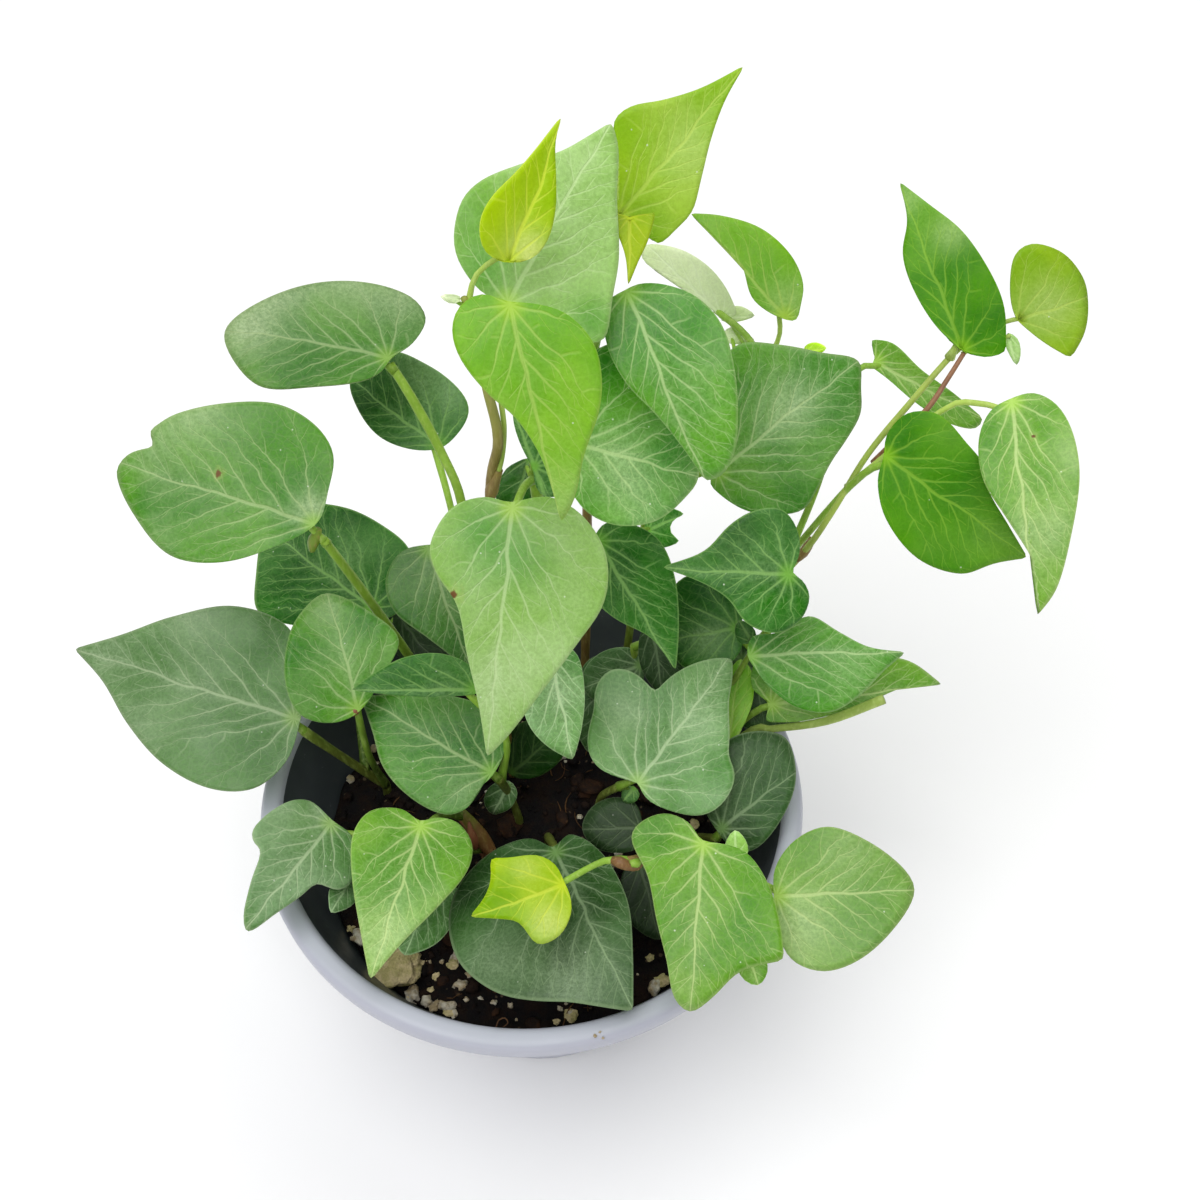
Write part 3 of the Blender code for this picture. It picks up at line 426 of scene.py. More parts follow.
        Leaf("tip_shade", "deep", 0.4, (512, 772, 63), (560, 732, 74), 0, 0.05, 0.04, 0.2, [],
             "512,776 501,762 500,742 514,726 540,718 566,728 566,752 550,770 530,778"),
        Leaf("gap_shade", "deep", 0.7, (529, 459, 122), (512, 506, 114), 0, 0.05, 0.04, 0.7, [],
             "529,457 517,462 506,468 500,480 495,498 510,510 530,512 548,500 550,480 541,464"),
    ]),
    "stem_shade": Stem((22, 22), [0.9] * STEM_PARTS, "stem_green", [
        (636, 690, 75), (634, 645, 88),
    ], [
        Leaf("shade_left", "dusk", 1.25, (640, 665, 84), (583, 688, 76), 0, 0.08, 0.05, 0.9, [],
             "643,664 632,648 606,650 586,668 583,688 598,702 628,700 643,684"),
        Leaf("shade_right", "dusk", 0.64, (652, 628, 93), (664, 702, 82), 0, 0.1, 0.05, 1.0, [],
             "652,624 640,634 641,668 664,702 682,674 680,640 666,626"),
        Leaf("middle_dark", "dusk", 0.9, (612, 668, 77), (588, 754, 65), 0, 0.06, 0.04, 0.5, [],
             "612,664 598,655 582,668 577,700 576,730 588,754 606,742 622,722 630,695 624,672"),
    ]),
    "stem_left_back": Stem((-14, 29), [1.0] * STEM_PARTS, "stem_green", [
        (471, 598, 100), (462, 505, 125), (440, 450, 134), (410, 395, 144), (390, 364, 149),
    ], [
        Leaf("left_top", "fresh", 0.76, (387, 358, 151), (225, 333, 156), 30, 0.08, 0.05, 1.0, [],
             "391,358 413,341 426,316 410,297 360,286 305,290 252,310 225,333 236,366 264,391 316,391 "
             "362,384 382,372",
             tones=[(243, 330, 7, 0.55), (280, 294, 7, 0.5), (345, 280, 7, 0.5), (400, 300, 7, 0.4),
                    (335, 358, 8, -0.18), (300, 390, 6, -0.1)]),
        Leaf("left_behind", "deep", 1.0, (438, 445, 127), (350, 378, 132), 0, 0.08, 0.05, 0.5,
             [(449, 500, 119)],
             "440,448 460,430 469,412 466,398 452,382 431,368 398,354 372,360 350,378 357,405 380,437 "
             "410,450",
             tones=[(374, 398, 7, -0.25), (425, 375, 6, 0.3), (452, 400, 5, 0.2)]),
        Leaf("left_inner", "mid", 0.63, (428, 549, 116), (478, 690, 96), 0, 0.08, 0.06, 0.35, [],
             "426,545 402,551 386,578 394,611 428,638 455,660 478,690 490,640 482,590 460,556 440,545",
             tones=[(425, 575, 5, 0.1), (402, 620, 5, -0.3), (460, 640, 5, -0.3), (430, 612, 6, -0.1)]),
    ]),
    "stem_left_out": Stem((-18, 19), [1.2, 1.15, 1.05, 1.0, 0.95], "stem_green", [
        (430, 690, 75), (405, 650, 90), (362, 590, 112), (324, 540, 131),
    ], [
        Leaf("left_sage", "fresh", 0.9, (314, 524, 136), (119, 462, 142), 0, 0.06, 0.05, 1.0, [],
             "318,522 328,492 334,455 318,427 282,406 232,405 180,416 153,432 158,448 130,455 117,472 "
             "134,512 174,556 226,563 282,545",
             tones=[(313, 508, 3.5, 0.5), (275, 440, 8, -0.2), (200, 405, 6, 0.4), (150, 440, 6, 0.2),
                    (215, 535, 7, -0.1), (165, 540, 5, 0.15)], scar=(223, 475, 0.85)),
        Leaf("left_dark", "deep", 1.28, (372, 608, 95), (266, 530, 98), 0, 0.08, 0.05, 0.35, [],
             "378,618 393,614 406,588 411,552 384,527 346,510 300,508 266,530 258,580 262,614 300,628 "
             "350,626",
             tones=[(352, 556, 7, 0.15), (280, 580, 6, -0.2), (365, 615, 6, -0.3)]),
    ]),
    "stem_left_low": Stem((-36, 11), [1.05] * STEM_PARTS, "stem_green", [
        (372, 776, 64), (335, 752, 78), (304, 731, 89),
    ], [
        Leaf("left_long", "sage", 0.84, (294, 718, 92), (75, 649, 96), 0, 0.06, 0.05, 1.0, [],
             "299,724 305,680 290,628 238,608 178,619 128,636 75,649 106,682 132,724 168,764 214,789 "
             "256,789 286,762",
             tones=[(255, 650, 8, -0.1), (110, 655, 7, 0.25), (190, 612, 7, 0.25), (140, 730, 7, 0.2),
                    (250, 760, 7, -0.08), (200, 680, 9, 0.12)]),
        Leaf("left_light", "fresh", 0.9, (357, 708, 98), (327, 593, 113), 0, 0.08, 0.05, 0.3, [],
             "360,711 386,671 399,640 378,618 327,593 300,614 287,645 286,685 300,715 332,723",
             tones=[(328, 604, 4, 0.3), (345, 660, 5, 0.1), (375, 690, 5, -0.25), (292, 650, 6, -0.15),
                    (362, 625, 5, -0.25)]),
        Leaf("inner_shade", "dusk", 0.3, (392, 606, 82), (438, 664, 78), 0, 0.05, 0.04, 0.5, [],
             "392,603 383,612 386,634 398,656 418,668 440,668 448,650 434,630 414,610"),
    ]),
    "stem_front_left": Stem((-4, 2), [0.95] * STEM_PARTS, "stem_green", [
        (508, 792, 70), (498, 778, 83),
    ], [
        Leaf("low_sage", "mid", 1.0, (491, 772, 86), (361, 697, 93), 0, 0.08, 0.06, 1.0, [],
             "493,775 505,748 497,715 462,699 410,694 361,697 374,732 385,768 412,798 446,815 468,808 "
             "480,788",
             tones=[(465, 792, 6, 0.25), (385, 722, 5, -0.25), (475, 735, 6, -0.3), (458, 765, 5, -0.2)]),
        Leaf("low_fold", "deep", 0.92, (475, 690, 107), (350, 690, 109), 0, 0.15, 0.06, 0.9,
             [(505, 735, 93)],
             "480,694 474,669 444,654 406,657 376,672 350,690 392,695 440,697",
             tones=[(440, 672, 5, 0.05), (400, 680, 5, -0.2)]),
        Leaf("low_shade", "dusk", 1.7, (508, 786, 72), (492, 815, 65), 0, 0.08, 0.05, 0.6, [],
             "509,781 492,784 484,800 492,815 510,808 518,793"),
    ]),
    "stem_front_big": Stem((3, -3), [0.95] * STEM_PARTS, "stem_green", [
        (556, 850, 75),
    ], [
        Leaf("big_dark", "dusk", 0.93, (556, 853, 77), (634, 1012, 80), 0, 0.06, 0.06, 1.0, [],
             "553,848 526,834 492,846 463,878 452,908 452,938 463,968 484,988 508,1000 540,1005 572,1006 "
             "604,1010 634,1013 635,960 631,910 612,868 588,842 568,832",
             tones=[(553, 850, 8, -0.3), (575, 985, 8, 0.3), (500, 968, 7, 0.25), (606, 905, 6, -0.1),
                    (470, 905, 6, -0.2)]),
    ]),
    "stem_corner": Stem((-10.5, -9), [1.3] * STEM_PARTS, "stem_red", [
        (478, 838, 65), (462, 815, 72),
    ], [
        Leaf("corner_heart", "spring", 1.18, (420, 827, 86), (370, 981, 81), 0, 0.08, 0.08, 1.0, [],
             "420,821 402,808 370,812 352,838 351,882 360,935 370,981 398,949 438,909 466,874 472,845 "
             "458,821 436,816",
             tones=[(385, 940, 9, 0.3), (452, 850, 5, -0.2), (372, 850, 6, 0.05), (400, 890, 7, -0.12)]),
        Leaf("corner_lobed", "sage", 0.99, (330, 824, 84), (244, 931, 86), 0, 0.08, 0.06, 0.7,
             [(395, 838, 76)],
             "333,821 323,811 314,803 304,800 288,803 268,815 253,829 249,838 252,847 258,852 257,862 "
             "251,878 246,898 243,916 245,931 252,931 272,917 300,898 314,886 325,890 337,893 350,884 "
             "356,860 351,835",
             tones=[(279, 812, 5, 0.15), (322, 812, 3, 0.3), (300, 880, 6, 0.1), (340, 850, 5, -0.15)]),
        Leaf("corner_dark", "dusk", 2.6, (438, 875, 71), (404, 957, 67), 0, 0.08, 0.05, 0.62, [],
             "440,870 418,880 402,908 392,935 404,957 434,946 452,925 458,900 453,880"),
        Leaf("corner_bit", "dusk", 1.3, (352, 876, 77), (330, 914, 80), 0, 0.08, 0.04, 0.65, [],
             "356,872 340,878 328,892 330,914 350,908 360,892"),
    ]),
}

# The cut end of an old stalk: its stem, how far up this it starts, the points it runs through, its radii
CUT_STEM = "stem_east"
CUT_STALK_FOOT = 0.3
CUT_STALK = [(752, 730, 79), (770, 729, 82), (826, 721, 88), (884, 699, 95)]
CUT_STALK_RADII = [1.0, 0.8, 1.1]

# Strands, joints and buds that the solid stems leave out: stem, material, radii, points
STRANDS = [
    ("stem_centre", "stalk_pale", [0.5, 0.55, 0.5, 0.5, 0.55],
     [(489, 489, 149), (500, 466, 155), (504, 430, 163), (500, 392, 173), (499, 350, 183), (507, 309, 188)]),
    ("stem_centre", "stem_brown", [0.7, 1.35, 0.8], [(489, 505, 144), (492, 489, 149), (499, 470, 154)]),
    ("stem_right", "stem_red", [0.45, 0.62, 0.6, 0.55, 0.5],
     [(872, 462, 129), (900, 436, 137), (928, 408, 143), (947, 380, 147), (964, 353, 151)]),
    ("stem_right", "stalk_pale", [0.5, 0.5, 0.45, 0.4],
     [(962, 354, 150), (982, 343, 153), (999, 338, 154), (1010, 336, 155)]),
    ("stem_right", "stem_brown", [0.8, 1.15, 1.05, 0.75],
     [(796, 560, 110), (803, 553, 111.5), (808, 546, 112.6), (813, 538, 114)]),
    ("stem_front", "joint", [0.75, 1.3, 0.95, 1.25, 0.7],
     [(612, 860, 94), (619, 862, 94.3), (626, 865, 93.8), (633, 866, 92.8), (641, 863, 91.5)]),
    ("stem_front", "petiole", [0.3, 0.85, 0.95, 0.5],
     [(630, 861, 95), (633, 863, 95.2), (637, 863, 95), (641, 861, 94.5)]),
    ("stem_corner", "sheath", [1.2, 1.75, 1.9, 1.5, 1.1],
     [(494, 856, 61), (486, 845, 64), (477, 832, 68), (468, 820, 71), (462, 813, 73)]),
    ("stem_corner", "stem_red", [0.4, 1.1, 1.25, 0.9, 0.3],
     [(476, 850, 64), (474, 843, 67), (472, 836, 69.5), (470, 829, 71.5), (469, 822, 73)]),
    ("stem_left_low", "stem_red", [0.5, 1.0, 0.5], [(352, 715, 96.5), (355, 711, 97.2), (359, 706, 97.4)]),
    ("stem_left_out", "sheath", [0.6, 1.15, 1.3, 0.8],
     [(312, 551, 128), (313, 543, 130), (316, 536, 132), (318, 529, 133.6)]),
]


def colour(red, green, blue):
    """A colour out of 255 as the eye reads it, as the linear colour that a shader takes."""
    linear = []
    for part in (red, green, blue):
        part /= 255
        linear.append(part / 12.92 if part <= 0.04045 else ((part + 0.055) / 1.055) ** 2.4)
    return (*linear, 1.0)


class Nodes:
    """Short hands for adding nodes to a node tree."""

    def __init__(self, tree):
        self.tree = tree

    def add(self, kind, **settings):
        node = self.tree.nodes.new(kind)
        for name, value in settings.items():
            setattr(node, name, value)
        return node

    def feed(self, socket, value):
        if isinstance(value, bpy.types.NodeSocket):
            self.tree.links.new(value, socket)
        else:
            socket.default_value = value

    def math(self, operation, first, second=0.0):
        node = self.add("ShaderNodeMath", operation=operation)
        self.feed(node.inputs[0], first)
        self.feed(node.inputs[1], second)
        return node.outputs[0]

    def plus(self, first, second):
        return self.math("ADD", first, second)

    def minus(self, first, second):
        return self.math("SUBTRACT", first, second)

    def times(self, first, second):
        return self.math("MULTIPLY", first, second)

    def over(self, first, second):
        return self.math("DIVIDE", first, second)

    def fade(self, value, start, end, low=0.0, high=1.0):
        """From low to high, smoothly, as value goes from start to end."""
        node = self.add("ShaderNodeMapRange", interpolation_type="SMOOTHSTEP")
        for socket, given in zip(node.inputs, (value, start, end, low, high)):
            self.feed(socket, given)
        return node.outputs[0]

    def mix(self, factor, first, second):
        """From the first colour to the second, as the factor goes from 0 to 1."""
        node = self.add("ShaderNodeMix", data_type="RGBA")
        for index, value in ((0, factor), (6, first), (7, second)):
            self.feed(node.inputs[index], value)
        return node.outputs[2]

    def choose(self, factor, first, second):
        """The first number where the factor is 0, the second where it is 1."""
        node = self.add("ShaderNodeMix", data_type="FLOAT")
        for index, value in ((0, factor), (2, first), (3, second)):
            self.feed(node.inputs[index], value)
        return node.outputs[0]

    def vector(self, operation, first, second=(0.0, 0.0, 0.0), scale=1.0):
        node = self.add("ShaderNodeVectorMath", operation=operation)
        self.feed(node.inputs[0], first)
        self.feed(node.inputs[1], second)
        if operation == "SCALE":
            self.feed(node.inputs["Scale"], scale)
        return node.outputs["Value" if operation == "LENGTH" else "Vector"]

    def shaded(self, tone, factor):
        """This colour times one number."""
        return self.vector("MULTIPLY", tone, self.join(factor, factor, factor))

    def noise(self, place, scale, detail=2.0, roughness=0.5):
        """(value, colour) of a noise."""
        node = self.add("ShaderNodeTexNoise")
        self.feed(node.inputs["Vector"], place)
        node.inputs["Scale"].default_value = scale
        node.inputs["Detail"].default_value = detail
        node.inputs["Roughness"].default_value = roughness
        return node.outputs[0], node.outputs[1]

    def cells(self, place, scale, feature="F1"):
        """(distance, colour) of a Voronoi pattern. At its edges there is no colour."""
        node = self.add("ShaderNodeTexVoronoi", feature=feature)
        self.feed(node.inputs["Vector"], place)
        node.inputs["Scale"].default_value = scale
        return node.outputs["Distance"], node.outputs.get("Color")

    def split(self, vector):
        node = self.add("ShaderNodeSeparateXYZ")
        self.feed(node.inputs[0], vector)
        return tuple(node.outputs)

    def join(self, x, y, z):
        node = self.add("ShaderNodeCombineXYZ")
        for socket, value in zip(node.inputs, (x, y, z)):
            self.feed(socket, value)
        return node.outputs[0]

    def attribute(self, name):
        return self.add("ShaderNodeAttribute", attribute_name=name).outputs["Vector"]

    def place(self):
        return self.add("ShaderNodeTexCoord").outputs["Object"]

    def bump(self, height, distance, strength):
        node = self.add("ShaderNodeBump")
        self.feed(node.inputs["Height"], height)
        node.inputs["Distance"].default_value = distance
        node.inputs["Strength"].default_value = strength
        return node.outputs[0]

    def group(self, tree, **values):
        node = self.add("ShaderNodeGroup", node_tree=tree)
        for name, value in values.items():
            self.feed(node.inputs[name], value)
        return node.outputs


def new_group(name, vectors, numbers, gives):
    """A shader node group that takes these vectors and numbers, and gives these numbers."""
    tree = bpy.data.node_groups.new(name, "ShaderNodeTree")
    for label in vectors:
        tree.interface.new_socket(label, in_out="INPUT", socket_type="NodeSocketVector")
    for label in numbers:
        tree.interface.new_socket(label, in_out="INPUT", socket_type="NodeSocketFloat")
    for label in gives:
        tree.interface.new_socket(label, in_out="OUTPUT", socket_type="NodeSocketFloat")
    nodes = Nodes(tree)
    return tree, nodes, nodes.add("NodeGroupInput").outputs, nodes.add("NodeGroupOutput").inputs


# Where the veins run, in millimetres on the blade. Side veins lean more on a slim blade, and sweep forward
LEAN_OF_SLIMNESS = 0.56
LEAN_RANGE = (1.2, 2.1)
VEIN_SWEEP = 0.014
VEIN_SPACING = 0.14
LEAST_SPACING = 4.8
STAGGER = 0.45
FAN_STEP = math.radians(33)
BRANCH_LEAN = 1.9
BRANCH_SLOPE = 0.466
BRANCH_SPACING = 5.6
NET_CELL = 2.3
FINE_CELL = 0.95
FOOT_SHARE = 0.13
FOOT_REACH = 3.4

# How far they stray: waves in each millimetre, and the reach of the waves in millimetres
SWAY_SCALE = 0.13
SWAY = 2.2
SWAY_FREE = 9.0
WANDER_SCALE = 0.10
WANDER = 4.6
JITTER_SCALE = 0.45
JITTER = 0.75

# How wide they are in millimetres, from the thick end to the thin one
RIB_WIDTH = (0.6, 0.2)
SIDE_WIDTH = (0.38, 0.15)
BRANCH_WIDTH = (0.15, 0.03)
ROOT_WIDTH = (0.7, 0.1)
RIB_HALO = 6.0
SIDE_HALO = 1.7
PUFF_WIDTH = 2.4

# How strong each kind is beside the midrib
RIB_HALO_STRENGTH = 0.7
SIDE_HALO_STRENGTH = 0.5
SIDE_STRENGTH = 0.85
BRANCH_STRENGTH = 0.5
ROOT_STRENGTH = 0.4
FINE_STRENGTH = 0.5
PUFF_HEIGHT = 0.45
VEIN_SINK = 0.5

# Two odd numbers that scatter the branches' starts
LOT_STEP = 3.7
LOT_SPREAD = 43.7


def vein_group():
    """The veins of a blade: a midrib, side veins that leave it and fork, a fan at the stalk, a net.

    Blade is (along, across, reach), Leaf is (length, lightness, seed), in millimetres.
    """
    tree, nodes, taken, given = new_group(
        "ivy_veins", ["Blade", "Leaf"], ["Lean"], ["Veins", "Net", "Foot", "Halo", "Relief"]
    )
    math_, plus, minus, times, over = nodes.math, nodes.plus, nodes.minus, nodes.times, nodes.over
    along, across, reach = nodes.split(taken["Blade"])
    length, _, seed = nodes.split(taken["Leaf"])
    lean = taken["Lean"]
    fan_start = math_("ARCTANGENT", over(1.0, lean))
    shift = nodes.join(seed, seed, seed)
    around = nodes.vector("ADD", nodes.join(along, across, 0.0), shift)
    wander = nodes.vector("SUBTRACT", nodes.noise(around, WANDER_SCALE, 2.0)[1], (0.5, 0.5, 0.5))
    jitter = nodes.vector("SUBTRACT", nodes.noise(around, JITTER_SCALE, 1.0)[1], (0.5, 0.5, 0.5))
    sway = minus(nodes.noise(nodes.join(along, 0.0, seed), SWAY_SCALE, 1.0)[0], 0.5)
    from_ends = math_("PINGPONG", along, over(length, 2.0))
    sway = times(sway, nodes.fade(from_ends, 0.0, SWAY_FREE, 0.0, SWAY))
    across = plus(across, sway)
    free = nodes.fade(math_("ABSOLUTE", across), 0.3, 8.0)
    wander_x, wander_y, _ = nodes.split(nodes.vector("SCALE", wander, scale=times(free, WANDER)))
    jitter_x, jitter_y, _ = nodes.split(nodes.vector("SCALE", jitter, scale=times(free, JITTER)))
    x = plus(plus(along, wander_x), jitter_x)
    y = math_("ABSOLUTE", plus(plus(across, wander_y), jitter_y))

    # Side veins are lines of equal start along the midrib; before the first one they fan out
    ahead = minus(x, times(times(y, y), VEIN_SWEEP))
    start = minus(ahead, times(y, lean))
    spacing = math_("MAXIMUM", times(length, VEIN_SPACING), LEAST_SPACING)
    side = math_("GREATER_THAN", across, 0.0)
    beyond = math_("GREATER_THAN", start, 0.0)
    stagger = times(times(side, STAGGER), nodes.fade(start, 0.0, spacing))
    feather = plus(over(start, spacing), stagger)
    turn = math_("ARCTAN2", y, ahead)
    fan = over(minus(fan_start, turn), FAN_STEP)
    line = nodes.choose(beyond, fan, feather)
    radius = nodes.vector("LENGTH", nodes.join(x, y, 0.0))
    apart = times(spacing, math_("SINE", fan_start))
    width = nodes.choose(beyond, times(radius, FAN_STEP), apart)

    def off_line(value):
        """How far this is from the nearest whole number, in millimetres across the vein."""
        nearest = math_("ABSOLUTE", minus(math_("FRACT", plus(value, 0.5)), 0.5))
        return times(nearest, width)

    # Side veins thin out towards the margin
    gap = off_line(line)
    thick = nodes.fade(reach, 0.1, 1.0, *SIDE_WIDTH)
    side_vein = nodes.fade(gap, thick, times(thick, 0.2))
    side_vein = times(side_vein, nodes.fade(reach, 0.5, 1.0, 1.0, 0.5))

    # Branches leave each side vein at a slant, at its own places on each side, and end halfway to the next
    run = nodes.choose(beyond, over(y, math_("SINE", fan_start)), radius)
    number = math_("FLOOR", plus(line, 0.5))
    edge = math_("GREATER_THAN", minus(line, number), 0.0)
    lot = plus(times(number, LOT_STEP), plus(times(edge, STAGGER), seed))
    lot = math_("FRACT", times(math_("SINE", lot), LOT_SPREAD))
    step = over(minus(run, times(gap, BRANCH_LEAN)), BRANCH_SPACING)
    off_branch = minus(math_("FRACT", plus(step, lot)), 0.5)
    off_branch = times(math_("ABSOLUTE", off_branch), BRANCH_SPACING * BRANCH_SLOPE)
    branch = nodes.fade(off_branch, *BRANCH_WIDTH)
    branch = times(branch, nodes.fade(run, 3.0, 8.0, 0.0, BRANCH_STRENGTH))
    branch = times(branch, nodes.fade(gap, 1.2, 4.5, 1.0, 0.25))

    # The midrib, the pale washes beside the veins, and the side veins' thick roots near the foot
    bare = math_("ABSOLUTE", across)
    rib_width = nodes.fade(over(along, length), 0.0, 1.0, *RIB_WIDTH)
    midrib = nodes.fade(bare, rib_width, times(rib_width, 0.3))
    halo = nodes.fade(bare, times(rib_width, RIB_HALO), 0.1, 0.0, RIB_HALO_STRENGTH)
    side_halo = nodes.fade(gap, SIDE_HALO, 0.1, 0.0, SIDE_HALO_STRENGTH)
    side_halo = times(side_halo, nodes.fade(reach, 0.2, 1.0, 1.0, 0.45))
    nodes.feed(given["Halo"], math_("MAXIMUM", halo, side_halo))
    root = times(nodes.fade(gap, *ROOT_WIDTH), nodes.fade(reach, 0.4, 0.05, 0.0, ROOT_STRENGTH))
    lateral = math_("MAXIMUM", times(side_vein, SIDE_STRENGTH), math_("MAXIMUM", branch, root))
    veins = math_("MAXIMUM", midrib, lateral)
    nodes.feed(given["Veins"], veins)

    # The net between them, the bright spot at the foot, and tissue that swells between sunk veins
    web = nodes.vector("ADD", nodes.join(x, y, 0.0), shift)
    net = nodes.fade(nodes.cells(web, 1 / NET_CELL, "DISTANCE_TO_EDGE")[0], 0.08, 0.0)
    fine = nodes.cells(web, 1 / FINE_CELL, "DISTANCE_TO_EDGE")[0]
    fine = nodes.fade(fine, 0.12, 0.0, 0.0, FINE_STRENGTH)
    nodes.feed(given["Net"], math_("MAXIMUM", net, fine))
    foot_reach = math_("MINIMUM", times(length, FOOT_SHARE), FOOT_REACH)
    from_foot = nodes.vector("LENGTH", nodes.join(along, across, 0.0))
    nodes.feed(given["Foot"], nodes.fade(from_foot, foot_reach, 0.3))
    puffed = times(nodes.fade(gap, 0.0, PUFF_WIDTH), PUFF_HEIGHT)
    nodes.feed(given["Relief"], minus(puffed, times(veins, VEIN_SINK)))
    return tree


# Sizes in the tissue's colour: waves or cells in each millimetre
PATCH_SCALE = 0.07
SHEEN_PATCH_SCALE = 0.05
GRAIN_SCALE = 1.6
SPECK_SCALE = 0.32
SPECK_EDGE = (0.07, 0.04)
FREE_OF_SPECKS = 0.6


def mottle_group():
    """Colour variation of living tissue: large soft patches, pale patches of painted sheen, fine grain, a few
    pale specks.
    """
    tree, nodes, taken, given = new_group(
        "leaf_mottle", ["Place"], ["Seed"], ["Patches", "Bloom", "Grain", "Specks"]
    )
    shift = nodes.join(taken["Seed"], 0.0, taken["Seed"])
    around = nodes.vector("ADD", nodes.vector("SCALE", taken["Place"], scale=1 / MM), shift)
    nodes.feed(given["Patches"], nodes.fade(nodes.noise(around, PATCH_SCALE, 3.0)[0], 0.36, 0.64))
    elsewhere = nodes.vector("SCALE", around, scale=-1.0)
    nodes.feed(given["Bloom"], nodes.fade(nodes.noise(elsewhere, SHEEN_PATCH_SCALE, 2.0)[0], 0.44, 0.66))
    nodes.feed(given["Grain"], nodes.noise(around, GRAIN_SCALE, 3.0, 0.7)[0])
    distance, tint = nodes.cells(around, SPECK_SCALE)
    chosen = nodes.math("GREATER_THAN", nodes.split(tint)[0], FREE_OF_SPECKS)
    nodes.feed(given["Specks"], nodes.times(nodes.fade(distance, *SPECK_EDGE), chosen))
    return tree


def blemish_group():
    """One small brown scar with a yellowed edge, at Mark (along, across, radius); none at radius 0."""
    tree, nodes, taken, given = new_group("leaf_blemish", ["Blade", "Mark"], [], ["Scar", "Halo"])
    along, across, _ = nodes.split(taken["Blade"])
    mark_x, mark_y, radius = nodes.split(taken["Mark"])
    ragged = nodes.noise(nodes.join(along, across, 0.0), 0.9, 2.0)[0]
    off = nodes.join(nodes.minus(along, mark_x), nodes.minus(across, mark_y), 0.0)
    off = nodes.times(nodes.vector("LENGTH", off), nodes.fade(ragged, 0.2, 0.8, 0.6, 1.6))
    shown = nodes.math("GREATER_THAN", radius, 0.0)
    scar = nodes.fade(off, radius, nodes.times(radius, 0.45))
    halo = nodes.fade(off, nodes.times(radius, 2.4), radius)
    nodes.feed(given["Scar"], nodes.times(scar, shown))
    nodes.feed(given["Halo"], nodes.times(halo, shown))
    return tree


def new_material(name):
    """A material, the short hands for its nodes, and its shader's inputs."""
    made = bpy.data.materials.new(name)
    made.use_nodes = True
    return made, Nodes(made.node_tree), made.node_tree.nodes["Principled BSDF"].inputs


